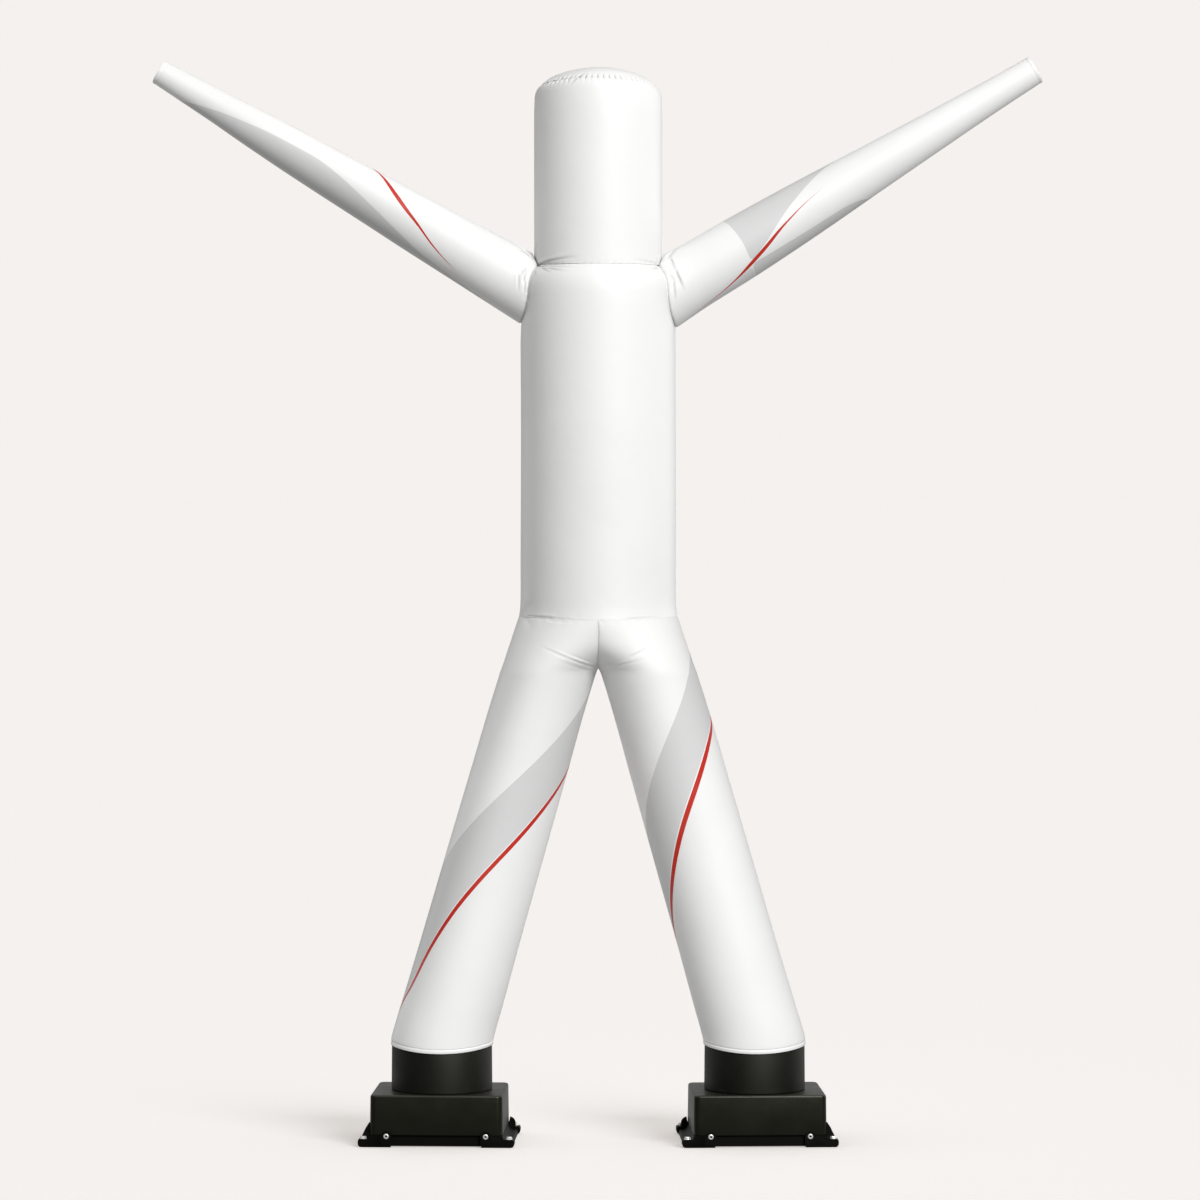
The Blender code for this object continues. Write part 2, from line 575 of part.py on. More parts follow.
def make_blower(side, shapes, materials):
    stand = bpy.data.objects.new(f"blower_{side}", None)
    bpy.context.scene.collection.objects.link(stand)
    stand.location = (SIDES[side] * BLOWER_X, 0.0, FEET)
    stand.rotation_euler = (0.0, 0.0, SIDES[side] * BLOWER_YAW)
    name = f"blower_{side}_"
    ring = add_object(name + "ring", shapes["ring"], materials["black_ring"])
    ring.location = (SIDES[side] * RING_X, 0.0, FEET)
    add_object(name + "housing", shapes["housing"], materials["black_plastic"], stand)
    add_object(name + "base", shapes["base"][side], materials["black_plastic"], stand)
    for x_sign in (-1, 1):
        where = "outer" if x_sign == SIDES[side] else "inner"
        for y_sign in (-1, 1):
            corner = where + ("_front" if y_sign < 0 else "_back")
            bolt = add_object(name + "bolt_" + corner, shapes["bolt"], materials["plated_steel"], stand)
            bolt.location = (x_sign * (HOUSING_HALF[0] + LUG_REACH - BOLT_INSET[0]),
                             y_sign * (LUG_FRONT - BOLT_INSET[1]), LUG_HEIGHT + GAP)
            screw = add_object(name + "screw_" + corner, shapes["screw"], materials["plated_steel"], stand)
            face = HOUSING_HALF[1] + GAP + EAR_THICK + GAP
            screw.location = (x_sign * SCREW_X, y_sign * face, SCREW_Z)
            screw.rotation_euler = Vector((0, y_sign, 0)).to_track_quat("Z", "X").to_euler()


def build():
    clear_scene()
    materials = {name: make_material(name) for name in COLOURS}
    cutter = make_armhole_cutter()
    cloths = {"head_cap": make_head_cap(), "head_tube": make_head_tube(), "torso": make_torso()}
    cloths |= {f"arm_{side}": make_arm(side, cutter) for side in SIDES}
    cloths |= {f"leg_{side}": make_leg(side) for side in SIDES}
    for name, mesh in cloths.items():
        add_object(name, mesh, materials["cloth"]).location.z = FEET
    base = make_base()
    shapes = {"ring": make_ring(), "housing": make_housing(), "base": {"right": base, "left": mirrored(base)},
              "screw": make_screw(), "bolt": make_bolt()}
    for side in SIDES:
        make_blower(side, shapes, materials)


build()
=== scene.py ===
# %% [markdown]
# # Inflatable air dancer
# A figure of white coated polyester, sewn from seven tubes and discs and blown up by two fans that stand
# on the floor. The air comes in through the ankles and leaves through the open cuffs.
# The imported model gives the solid, air-filled shapes. Here each of them becomes what it really is: a
# thin sewn cloth with its puckers, creases, stitches and print, or a moulded part with its radii.

import json
import math
from collections import namedtuple
from functools import partial

import bmesh
import bpy
import numpy as np
from mathutils import Matrix, Vector

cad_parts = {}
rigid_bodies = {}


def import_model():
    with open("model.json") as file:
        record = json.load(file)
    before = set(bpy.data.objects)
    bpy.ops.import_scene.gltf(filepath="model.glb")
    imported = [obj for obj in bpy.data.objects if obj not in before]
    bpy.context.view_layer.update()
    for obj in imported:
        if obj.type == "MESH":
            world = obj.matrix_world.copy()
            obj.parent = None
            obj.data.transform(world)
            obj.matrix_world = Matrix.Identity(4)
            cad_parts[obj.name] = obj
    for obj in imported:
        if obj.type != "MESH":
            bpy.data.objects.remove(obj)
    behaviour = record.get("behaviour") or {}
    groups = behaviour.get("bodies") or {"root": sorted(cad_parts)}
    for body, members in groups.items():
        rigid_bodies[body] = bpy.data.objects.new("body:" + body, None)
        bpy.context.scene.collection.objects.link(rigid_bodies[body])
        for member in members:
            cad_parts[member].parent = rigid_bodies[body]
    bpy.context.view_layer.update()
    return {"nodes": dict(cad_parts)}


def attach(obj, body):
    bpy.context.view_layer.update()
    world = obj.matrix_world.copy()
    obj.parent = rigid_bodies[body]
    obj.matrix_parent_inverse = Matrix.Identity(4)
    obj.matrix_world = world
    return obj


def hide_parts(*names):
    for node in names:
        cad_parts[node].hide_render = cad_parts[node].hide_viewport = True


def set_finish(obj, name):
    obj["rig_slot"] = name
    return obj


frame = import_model()

# %% [markdown]
# ## Sizes that every step shares
# The origin is on the floor midway between the blowers, -Y is the front, and "left" is the side at -X.
# The seams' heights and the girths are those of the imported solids, and start at the top of the trays' feet.

# %% Shared sizes
SIDES = {"left": -1, "right": 1}
CLOTH = 0.0012              # thickness of the coated polyester
SEAM_GAP = 0.0003           # between two cloths that are sewn together
FEET = 0.009                # height of the trays' feet, on which everything made here stands
HIP_SEAM = 2.406
HIP_RADIUS = 0.3640
HIP_DIP = 0.010             # how much lower the hip seam runs at front and back
NECK_SEAM = 4.012
CAP_SEAM = 4.838
CAP_SEAM_LIFT = 0.024       # how much higher the cap seam runs at front and back
CAP_APEX = 4.920
CROTCH = 2.16
RING_X = 0.720              # from the middle to an outlet ring's axis
BLOWER_X = 0.729            # from the middle to a housing's middle
BLOWER_YAW = math.radians(2.4)
FULL_TURN = 2 * math.pi
print("height to the cap", round(FEET + CAP_APEX, 3))

# %% [markdown]
# ## Smooth curves through short tables
# A cutter's table has a few girths. Straight lines between them would show as rings on the tube, so each
# table is read through a smooth curve. A spline could swing past its points, so the slopes are limited. A
# seam's effect dies away with the distance from it, which a bell or a ramp describes.

# %% Curves
def smooth(x, xs, ys):
    """Cubic pieces through the points (xs, ys). The slope at a point is the harmonic mean of the slopes on
    its two sides, weighted by the steps, or 0 where the values turn back, so no piece swings past its ends.
    Outside the points the curve runs on straight."""
    xs, ys = np.asarray(xs, float), np.asarray(ys, float)
    step = np.diff(xs)
    rise = np.diff(ys) / step
    slope = np.concatenate([rise[:1], np.zeros(len(xs) - 2), rise[-1:]])
    goes_on = rise[:-1] * rise[1:] > 0
    late, soon = 2 * step[1:] + step[:-1], step[1:] + 2 * step[:-1]
    slope[1:-1][goes_on] = ((late + soon)[goes_on]
                            / (late[goes_on] / rise[:-1][goes_on] + soon[goes_on] / rise[1:][goes_on]))
    piece = np.clip(np.searchsorted(xs, x) - 1, 0, len(step) - 1)
    share = (x - xs[piece]) / step[piece]
    t = np.clip(share, 0.0, 1.0)
    value = (ys[piece] * (2 * t**3 - 3 * t**2 + 1) + ys[piece + 1] * (3 * t**2 - 2 * t**3)
             + step[piece] * (slope[piece] * (t**3 - 2 * t**2 + t) + slope[piece + 1] * (t**3 - t**2)))
    return value + (share - t) * step[piece] * np.where(share < 0, slope[piece], slope[piece + 1])


def table_of(kind, *values):
    """A table: each group of values becomes a row whose columns have names."""
    return tuple(kind(*value) for value in values)


def look_up(table, x, by, column):
    """Smooth value of one column of a table, where the column that it is ordered by has the value x."""
    return smooth(x, [getattr(row, by) for row in table], [getattr(row, column) for row in table])


def bell(x):
    """Hump that is 1 at 0 and dies away to both sides: e to the power of minus x squared."""
    return np.exp(-x * x)


def ramp(distance, over):
    """Rises evenly from 0 at no distance to 1 over a length, and stays 1."""
    return np.clip(distance / over, 0.0, 1.0)


def smoothstep(t):
    """Rises from 0 to 1 over t from 0 to 1, level at both ends: three times t squared less twice t cubed."""
    t = np.clip(t, 0.0, 1.0)
    return t * t * (3.0 - 2.0 * t)


print("at a quarter of its way a smooth step has risen by", smoothstep(0.25))

# %% [markdown]
# ## Rows where they are needed, and unevenness
# A seam's puckers need rows 2 mm apart, a plain tube one in several centimetres. An even grid would waste
# most of its faces, so the rows crowd near chosen spots. Cloth is never quite even either: sums of a few
# waves, with random phases from a fixed seed, give it slow swells that come out the same in each run.

# %% Spacing and unevenness
def spaced(start, stop, fine, coarse, spots, reach):
    """Positions from start to stop, a fine step apart near the spots and a coarse step apart elsewhere.
    They lie where the running total of (wanted rows per metre) passes each whole number."""
    s = np.linspace(start, stop, 4001)
    near = np.max([bell((s - spot) / reach) for spot in spots], axis=0)
    density = near / fine + (1.0 - near) / coarse
    total = np.concatenate([[0.0], np.cumsum((density[1:] + density[:-1]) / 2 * np.diff(s))])
    return np.interp(np.linspace(0.0, total[-1], math.ceil(total[-1]) + 1), total, s)


def wander(turn, seed, waves):
    """Uneven smooth value round a tube: a sum of cosines with 1 to so many waves and random phases."""
    random = np.random.default_rng(seed)
    phases = random.uniform(0.0, FULL_TURN, waves)
    sizes = random.uniform(0.4, 1.0, waves)
    return sum(size * np.cos((wave + 1) * turn + phase)
               for wave, (size, phase) in enumerate(zip(sizes, phases))) / math.sqrt(waves)


def billow(turn, along, seed):
    """Slow swells of cloth under air: six waves that run round and along it at random slants."""
    random = np.random.default_rng(seed)
    total = 0.0
    for wave in range(6):
        slant = random.uniform(-5.0, 5.0)
        total = total + np.cos((wave % 3 + 1) * turn + slant * along + random.uniform(0.0, FULL_TURN))
    return total / 3.0


print("a metre with one seam takes", len(spaced(0.0, 1.0, 0.002, 0.080, (0.0,), 0.040)), "rows")

# %% [markdown]
# ## Puckers, creases and seams
# A sewing thread is tighter than the cloth, so a seam puckers: little pleats stand square to it and run
# out within a few centimetres. Where cloth is pulled to a corner it folds into a fan of creases. Both could
# be painted as bump, but a low light would show that the outline stays smooth, so they move the surface.
# A crease is a trough with a low lip beside it, which is what catches the light.

# %% Relief of the cloth
Pucker = namedtuple("Pucker", "count depth reach seed")     # pleats round a seam, and how far they run
Curl = namedtuple("Curl", "depth width")
Hem = namedtuple("Hem", "height swell groove width")
Crease = namedtuple("Crease", "start_a start_b end_a end_b width depth")


def puckers(turn, away, seam, share=0.52, spread=0.42):
    """Pleats square to a seam: narrow valleys all round it, uneven in depth and place, that die away from
    the seam as a bell of uneven length. share is a valley's part of its pleat."""
    phase = seam.count * turn + 1.4 * wander(turn, seam.seed, 6)
    valley = bell(np.sin(phase / 2) / share)
    uneven = np.clip(1.0 + spread * wander(turn, seam.seed + 1, 23), 0.10, 2.2)
    length = seam.reach * np.clip(1.0 + 0.32 * wander(turn, seam.seed + 2, 17), 0.5, 1.6)
    return -seam.depth * uneven * valley * bell(away / length)


def creases(table, a, b, lip=0.35):
    """Straight soft creases in the cloth's own (a, b) lengths: a trough along each row's line, deepest at its
    start and running out at its end, with a lip of a share of its depth on the line's left."""
    total = np.zeros(np.broadcast(a, b).shape)
    for row in table:
        da, db = row.end_a - row.start_a, row.end_b - row.start_b
        length = math.hypot(da, db)
        forward = ((a - row.start_a) * da + (b - row.start_b) * db) / length
        aside = ((b - row.start_b) * da - (a - row.start_a) * db) / length
        inside = np.clip(forward, 0.0, length)
        past = forward - inside
        trough = np.exp(-(aside**2 + past**2) / row.width**2)
        ridge = np.exp(-((aside - 1.9 * row.width) ** 2 + past**2) / row.width**2)
        total += row.depth * np.clip(1.6 * (1.0 - inside / length), 0.0, 1.0) * (lip * ridge - trough)
    return total


def crease_shade(relief, most=0.30, depth=0.0040):
    """Share of painted shade in the troughs of a relief made of creases: the most that there is from a depth
    on.
    """
    return most * ramp(-relief, depth)


def seam_curl(away, curl):
    """The last millimetres before a seam turn in to the stitches: a bell-shaped dip at the seam."""
    return -curl.depth * bell(away / curl.width)


def pulled_side(turn):
    """Share of its full depth that a body's seam has: all of it at the front's left, a seventh elsewhere."""
    return 0.15 + 0.85 * bell((np.degrees(turn) + 50.0) / 24.0)


def hem_band(away, hem):
    """A folded hem: a swell between the edge and the stitch line, and a groove along the stitches."""
    belly = np.sin(math.pi * ramp(away, hem.height))
    return hem.swell * belly - hem.groove * bell((away - hem.height) / hem.width)


sample = Pucker(count=40, depth=0.001, reach=0.02, seed=1)
deepest = puckers(np.linspace(0.0, FULL_TURN, 900), 0.0, sample).min()
print("pleats of 1 mm are uneven: the deepest here has", round(-1000 * deepest, 2), "mm")

# %% [markdown]
# ## From a grid to a cloth
# Every cloth is a function of two numbers: a turn round the tube and a length along it. The function gives a
# grid of points, and the grid gives quads. A Solidify modifier could add the thickness, but it makes one
# thickness everywhere, and a hem is folded double, so the inner face is laid here, along the
# points' own normals, and a rim of quads joins the two faces into one closed mesh.

# %% Grid to closed mesh
def unit(vectors):
    """Vectors scaled to the length 1."""
    return vectors / np.maximum(np.linalg.norm(vectors, axis=-1, keepdims=True), 1e-12)


def point_normals(points, corners):
    """Each point's normal is the sum of its faces' cross products of their diagonals, scaled to 1."""
    first, second, third, fourth = (points[corners[:, corner]] for corner in range(4))
    face = np.cross(third - first, fourth - second)
    total = np.zeros_like(points)
    for corner in range(4):
        np.add.at(total, corners[:, corner], face)
    return unit(total)


def thicken(points, corners, thickness):
    """Inner points lie a thickness under the outer ones. Faces: outer, inner turned over, and a rim quad at
    each side of a face that no other face uses the other way round. source says which corner of the grid's
    quads each corner of a face comes from."""
    count = len(points)
    inner = points - point_normals(points, corners) * np.asarray(thickness).reshape(-1, 1)
    starts = corners.ravel()
    ends = np.roll(corners, -1, axis=1).ravel()
    alone = ~np.isin(starts * count + ends, ends * count + starts) & (starts != ends)
    order = np.arange(starts.size).reshape(-1, 4)
    rim_from = order.ravel()[alone]
    rim_to = np.roll(order, -1, axis=1).ravel()[alone]
    near, far = starts[rim_to], starts[rim_from]
    rim = np.stack([near, far, far + count, near + count], axis=1)
    faces = np.concatenate([corners, corners[:, ::-1] + count, rim])
    source = np.concatenate([order, order[:, ::-1], np.stack([rim_to, rim_from, rim_from, rim_to], axis=1)])
    return np.concatenate([points, inner]), faces, source


def grid_quads(number):
    """The four corners of each cell of a grid of point numbers."""
    corners = number[:-1, :-1], number[:-1, 1:], number[1:, 1:], number[1:, :-1]
    return np.stack(corners, axis=-1).reshape(-1, 4)


def cloth_mesh(name, points, uv, wrapped_rows=None, ends_in_pole=False, thickness=CLOTH, fields=None):
    """Closed mesh of a cloth over a grid of points whose last column repeats the first, in the rows where the
    cloth is closed round. At a pole the last row is one point. fields become attributes of the points."""
    shape = points.shape[:2]
    number = np.arange(shape[0] * shape[1]).reshape(shape)
    quads = grid_quads(number)
    welded = number.copy()
    closed = np.ones(shape[0], bool) if wrapped_rows is None else wrapped_rows
    welded[closed, -1] = number[closed, 0]
    if ends_in_pole:
        welded[-1] = number[-1, 0]
    kept, short = np.unique(welded, return_inverse=True)
    wall = np.broadcast_to(thickness, shape).ravel()[kept]
    solid, faces, source = thicken(points.reshape(-1, 3)[kept], short.ravel()[quads], wall)
    real = faces != np.roll(faces, -1, axis=1)      # at a pole a quad has one corner twice
    mesh = bpy.data.meshes.new(name)
    mesh.from_pydata(solid.tolist(), [], np.split(faces[real], np.cumsum(real.sum(axis=1))[:-1]))
    corner_uv = uv.reshape(-1, 2)[quads.ravel()[source[real]]]
    mesh.uv_layers.new(name="cloth").data.foreach_set("uv", corner_uv.astype(np.float32).ravel())
    for field, values in (fields or {}).items():
        outer = np.broadcast_to(values, shape).ravel()[kept]
        kept_field = mesh.attributes.new(field, "FLOAT", "POINT")
        kept_field.data.foreach_set("value", np.tile(outer, 2).astype(np.float32))
    mesh.shade_smooth()
    mesh.set_sharp_from_angle(angle=math.radians(55))
    return mesh


sample = grid_quads(np.arange(6).reshape(2, 3))
print("a grid of 2 by 3 points has the quads", sample.tolist())

# %% [markdown]
# ## From a mesh to a piece of the object
# A piece rides a body of the imported model, has a finish with a slot's name, and may stand for one of the
# solids. Air holds a tube at its cut size, so the size that a cloth was cut to can be measured from its
# finished surface.

# %% Pieces
def new_object(name, data):
    """An object in the scene's own collection."""
    thing = bpy.data.objects.new(name, data)
    bpy.context.scene.collection.objects.link(thing)
    return thing


def place(mesh, material, slot, replaced=(), lift=FEET):
    """Puts a finished mesh into the scene as one piece of the object, lifted on to the trays' feet."""
    mesh.transform(Matrix.Translation((0.0, 0.0, lift)))
    mesh.materials.clear()
    mesh.materials.append(material)
    thing = new_object(mesh.name, mesh)
    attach(thing, "root")
    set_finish(thing, slot)
    if replaced:
        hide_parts(*replaced)
    return thing


def cut_size(points):
    """Longest row, longest column and area of a grid of points."""
    row = np.linalg.norm(np.diff(points, axis=1), axis=-1).sum(axis=1).max()
    column = np.linalg.norm(np.diff(points, axis=0), axis=-1).sum(axis=0).max()
    twice = np.cross(points[1:, 1:] - points[:-1, :-1], points[1:, :-1] - points[:-1, 1:])
    return (float(row), float(column)), float(np.linalg.norm(twice, axis=-1).sum() / 2)


def triangles(thing):
    """Triangles of a piece, a face of n corners being n - 2 of them."""
    return len(thing.data.loops) - 2 * len(thing.data.polygons)


square = np.array([[[0.0, 0.0, 0.0], [1.0, 0.0, 0.0]], [[0.0, 1.0, 0.0], [1.0, 1.0, 0.0]]])
print("a square metre is cut to", cut_size(square))

# %% [markdown]
# ## Finishes made of nodes
# A finish is a graph of nodes. Written out by hand, each node takes five lines, so a few small functions add
# one and link it in a single line. An image would be the usual way to print the bands, but here each cloth
# carries the distance to the edge of its print as an attribute, so the shader can cut a crisp edge at any
# zoom.

# %% Node helpers
EDGE_BLEED = 0.0008         # how far ink spreads at the edge of a print


def feed(tree, target, value):
    """Links a node's output to an input, or sets the input if the value is a plain one."""
    if isinstance(value, bpy.types.NodeSocket):
        tree.links.new(value, target)
    else:
        target.default_value = value


def node(tree, kind, **values):
    """Adds a node, sets its properties, and feeds its inputs, whose keys are "in_" and a number or name."""
    made = tree.nodes.new(kind)
    for key, value in values.items():
        if key.startswith("in_"):
            name = key[3:].replace("_", " ")
            feed(tree, made.inputs[int(name) if name.isdigit() else name], value)
        else:
            setattr(made, key, value)
    return made


def principled(name, **inputs):
    """New material, whose Principled shader has its own sockets set."""
    material = bpy.data.materials.new(name)
    material.use_nodes = True
    tree = material.node_tree
    shader = tree.nodes["Principled BSDF"]
    for key, value in inputs.items():
        shader.inputs[key.replace("_", " ")].default_value = value
    return material, tree, shader


def attribute(tree, field):
    """An attribute of the mesh's points, which reads 0 on a mesh that lacks it."""
    return node(tree, "ShaderNodeAttribute", attribute_name=field).outputs["Fac"]


def object_noise(tree, scale, detail=2.0, roughness=0.5):
    """Noise in the piece's own coordinates."""
    coords = node(tree, "ShaderNodeTexCoord").outputs["Object"]
    return node(tree, "ShaderNodeTexNoise", in_Vector=coords, in_Scale=scale, in_Detail=detail,
                in_Roughness=roughness).outputs["Fac"]


def ranged(tree, value, start, stop, low=0.0, high=1.0, interpolation="LINEAR"):
    """Goes from low to high while a value goes from start to stop."""
    return node(tree, "ShaderNodeMapRange", interpolation_type=interpolation, in_0=value, in_1=start,
                in_2=stop, in_3=low, in_4=high).outputs[0]


def bumped(tree, height, strength, distance, **below):
    """Normal of a bump, on top of the normal below it."""
    return node(tree, "ShaderNodeBump", in_Height=height, in_Strength=strength, in_Distance=distance,
                **below).outputs["Normal"]


def maths(tree, operation, **values):
    """One operation on one or two values."""
    return node(tree, "ShaderNodeMath", operation=operation, **values).outputs[0]


def colour_mix(tree, factor, low, high):
    """Colour between two colours; inputs 6 and 7 and output 2 of a Mix node are its colour ones."""
    return node(tree, "ShaderNodeMix", data_type="RGBA", in_0=factor, in_6=low, in_7=high).outputs[2]


def printed(tree, inside, ink, below):
    """Mixes an ink over a colour wherever the distance inside the print's edge is above 0."""
    return colour_mix(tree, ranged(tree, inside, 0.0, EDGE_BLEED), below, ink)


print("node helpers ready, edges bleed over", 1000 * EDGE_BLEED, "mm")

# %% [markdown]
# ## The finish of the cloth
# The cloth is a plain weave with a smooth coating: white, with a soft sheen. From below, its colour is a
# slightly cloudy white, a pale and a grey print, the red line where a point lies nearer to it than its half
# width, and painted shade in the seams and folds. The weave only shows from a hand's width away. It is a bump
# of two crossed waves in the cloth's UV map, whose unit is a metre of cloth, with soft dents over it.

# %% Cloth material
WHITE = (0.86, 0.86, 0.855, 1.0)
OFF_WHITE = (0.835, 0.835, 0.83, 1.0)
GREY = (0.640, 0.642, 0.640, 1.0)
PALE_GREY = (0.735, 0.735, 0.732, 1.0)
RED = (0.530, 0.024, 0.011, 1.0)
PAINTED_SHADE_COLOUR = (0.300, 0.300, 0.295, 1.0)     # painted shade that darkens the cloth where seams, creases and pleats fall into shade
THREADS_PER_METRE = 900.0
BANDS = 20.0                # a Wave node's bands repeat every FULL_TURN / BANDS at scale 1


def make_cloth_material():
    """White coated cloth with clouds of off-white, its grey bands and red stripes, and painted shade in the
    seams, folds and pleats.
    """
    material, tree, shader = principled("coated_cloth", Roughness=0.46, Specular_IOR_Level=0.36,
                                        Sheen_Weight=0.06, Sheen_Roughness=0.4)
    colour = colour_mix(tree, ranged(tree, object_noise(tree, 2.2, 3.0), 0.42, 0.72), WHITE, OFF_WHITE)
    colour = printed(tree, attribute(tree, "pale_print"), PALE_GREY, colour)
    colour = printed(tree, attribute(tree, "grey_print"), GREY, colour)
    off_line = maths(tree, "ABSOLUTE", in_0=attribute(tree, "red_line"))
    inside = maths(tree, "SUBTRACT", in_0=attribute(tree, "red_half"), in_1=off_line)
    colour = printed(tree, inside, RED, colour)
    # painted shade: the cloth darkens by its shade attribute towards the shade colour in seams, creases,
    # pleats and the notch by the head
    colour = colour_mix(tree, attribute(tree, "seam_shade"), colour, PAINTED_SHADE_COLOUR)
    feed(tree, shader.inputs["Base Color"], colour)

    cloth_uv = node(tree, "ShaderNodeUVMap", uv_map="cloth").outputs["UV"]
    warp, weft = (node(tree, "ShaderNodeTexWave", bands_direction=axis, in_Vector=cloth_uv,
                       in_Scale=THREADS_PER_METRE * FULL_TURN / BANDS).outputs["Fac"] for axis in ("X", "Y"))
    weave = bumped(tree, maths(tree, "MULTIPLY", in_0=warp, in_1=weft), 0.10, 0.0004)
    dents = bumped(tree, object_noise(tree, 14.0, 2.0, 0.35), 0.16, 0.006, in_Normal=weave)
    feed(tree, shader.inputs["Normal"], dents)
    return material


cloth_finish = make_cloth_material()
print("cloth finish has", len(cloth_finish.node_tree.nodes), "nodes")

# %% [markdown]
# ## The torso
# A straight tube of cloth, closed below by the two legs and above by the head. A turned profile gives the
# shape. The profile runs over the shoulders to the neck seam, so its rows follow the length along the
# outline and not the height. Relief is added along the outline's normal, which stays true where it lies flat.

# %% Turned outlines
Girth = namedtuple("Girth", "height radius")
TORSO = table_of(Girth, (HIP_SEAM, HIP_RADIUS), (2.434, 0.3600), (2.465, 0.3574), (2.540, 0.3556),
    (3.700, 0.3556), (3.820, 0.3554), (3.885, 0.3536), (3.920, 0.3496), (3.942, 0.3440), (3.956, 0.3384),
    (3.968, 0.3318), (3.979, 0.3240), (3.989, 0.3150), (3.998, 0.3060), (4.006, 0.2975),
    (NECK_SEAM, 0.2898))
HEAD = table_of(Girth, (NECK_SEAM, 0.2898), (4.022, 0.2912), (4.040, 0.2928), (4.066, 0.2938),
    (4.100, 0.2942), (4.740, 0.2942), (4.778, 0.2926), (4.804, 0.2874), (4.823, 0.2784),
    (CAP_SEAM, 0.2630))
CAP = table_of(Girth, (CAP_SEAM, 0.2630), (4.852, 0.2480), (4.872, 0.2210), (4.890, 0.1830),
    (4.904, 0.1350), (4.915, 0.0700), (CAP_APEX, 0.0))


class Outline:
    """A turned outline read by the length along it, from the table's first row."""

    def __init__(self, table):
        self.heights = np.array([girth.height for girth in table])
        self.radii = np.array([girth.radius for girth in table])
        steps = np.hypot(np.diff(self.heights), np.diff(self.radii))
        self.lengths = np.concatenate([[0.0], np.cumsum(steps)])
        self.length = float(self.lengths[-1])

    def at(self, s):
        """Radius, height, and the outward normal's share along the radius and the height."""
        step = 0.0005
        radius = smooth(s, self.lengths, self.radii)
        height = smooth(s, self.lengths, self.heights)
        dr = smooth(s + step, self.lengths, self.radii) - smooth(s - step, self.lengths, self.radii)
        dz = smooth(s + step, self.lengths, self.heights) - smooth(s - step, self.lengths, self.heights)
        size = np.hypot(dr, dz)
        return radius, height, dz / size, -dr / size


torso_outline = Outline(TORSO)
head_outline = Outline(HEAD)
cap_outline = Outline(CAP)
outlines = (torso_outline, head_outline, cap_outline)
print("torso, head and cap outlines:", [round(outline.length, 3) for outline in outlines])

# %% [markdown]
# ## Turning an outline
# Screwing the outline round would give an even surface. Here each point asks the outline for its radius and
# its height, then moves along the outline's normal by whatever relief it is given, and stands at its turn.

# %% The turned surface
def turned(turn, s, outline, relief, lift=0.0):
    """Point at a turn from the front (positive towards +X) and a length along an outline, moved out by the
    relief along the outline's normal, and up by a lift that is greatest at front and back."""
    radius, height, out_r, out_z = outline.at(s)
    radius = radius + relief * out_r
    height = height + relief * out_z + lift * np.cos(turn) ** 2
    return np.stack([radius * np.sin(turn), -radius * np.cos(turn), height], axis=-1)


def turned_grid(columns, lengths):
    """Turns from the back round to the back, and lengths, ready to combine into a grid."""
    return np.linspace(-math.pi, math.pi, columns + 1)[None, :], np.asarray(lengths)[:, None]


def degrees_across(table, radius):
    """A table whose a column is a turn in degrees, with that column as a length round a tube."""
    scale = math.radians(1.0) * radius
    return [row._replace(start_a=row.start_a * scale, end_a=row.end_a * scale) for row in table]


front_point = turned(np.zeros(1), np.zeros(1), torso_outline, 0.0)
print("the torso's lowest point in front is at", np.round(front_point[0], 3).tolist())

# %% [markdown]
# ## Where the arms are
# An arm is a straight tapered tube that leans up and out. The body's cloth dips where the arm is sewn to it,
# so the arms' axes and girths come first. An empty could carry an arm's frame, but a place and three plain
# directions work on whole arrays of points.

# %% Where the arms are
ARMHOLE_DIP = Curl(0.0045, 0.0085)
ARMHOLE_ROWS = (1.335, 1.560)       # lengths up the torso between which the armholes lie
Arm = namedtuple("Arm", "seam_x seam_z cuff_x cuff_z")
ArmFrame = namedtuple("ArmFrame", "root along up front length")
ArmGirth = namedtuple("ArmGirth", "reach left right")
ARMS = {"left": Arm(-0.327, 3.908, -2.014, 4.902), "right": Arm(0.327, 3.897, 2.002, 4.912)}
ARM_GIRTHS = table_of(ArmGirth, (0.00, 0.1540, 0.1590), (0.08, 0.1480, 0.1495), (0.19, 0.1390, 0.1460),
    (0.30, 0.1310, 0.1380), (0.41, 0.1210, 0.1270), (0.52, 0.1120, 0.1135), (0.63, 0.1020, 0.1005),
    (0.74, 0.0890, 0.0885), (0.85, 0.0735, 0.0770), (0.93, 0.0650, 0.0705), (1.00, 0.0575, 0.0660))


def arm_frame(side):
    """Middle of the armhole, the directions along the arm, up from it and to the front, and its length."""
    arm = ARMS[side]
    root = np.array([arm.seam_x, 0.0, arm.seam_z])
    reach = np.array([arm.cuff_x, 0.0, arm.cuff_z]) - root
    along = unit(reach)
    up = np.array([-along[2], 0.0, along[0]]) * SIDES[side]
    return ArmFrame(root, along, up, np.array([0.0, -1.0, 0.0]), float(np.linalg.norm(reach)))


def arm_radius(side, t):
    """Radius of the arm's round section at length t, from the table of girths."""
    return look_up(ARM_GIRTHS, ramp(t, arm_frame(side).length), "reach", side)


def armhole_groove(turn, radius, height):
    """Dip of the body's cloth along the armhole seams. A point's distance from the seam is nearly its
    distance from the arm's axis less the arm's radius there."""
    point = np.stack(np.broadcast_arrays(radius * np.sin(turn), -radius * np.cos(turn), height), axis=-1)
    total = 0.0
    for side, sign in SIDES.items():
        arm = arm_frame(side)
        forward = (point - arm.root) @ arm.along
        off_axis = np.linalg.norm(point - arm.root - forward[..., None] * arm.along, axis=-1)
        dip = seam_curl(off_axis - arm_radius(side, forward), ARMHOLE_DIP)
        total = total + dip * (sign * point[..., 0] > 0)
    return total


for side in SIDES:
    arm = arm_frame(side)
    print(side, "arm:", round(arm.length, 3), "m long, up by", round(float(arm.along[2]), 3), "m a metre")

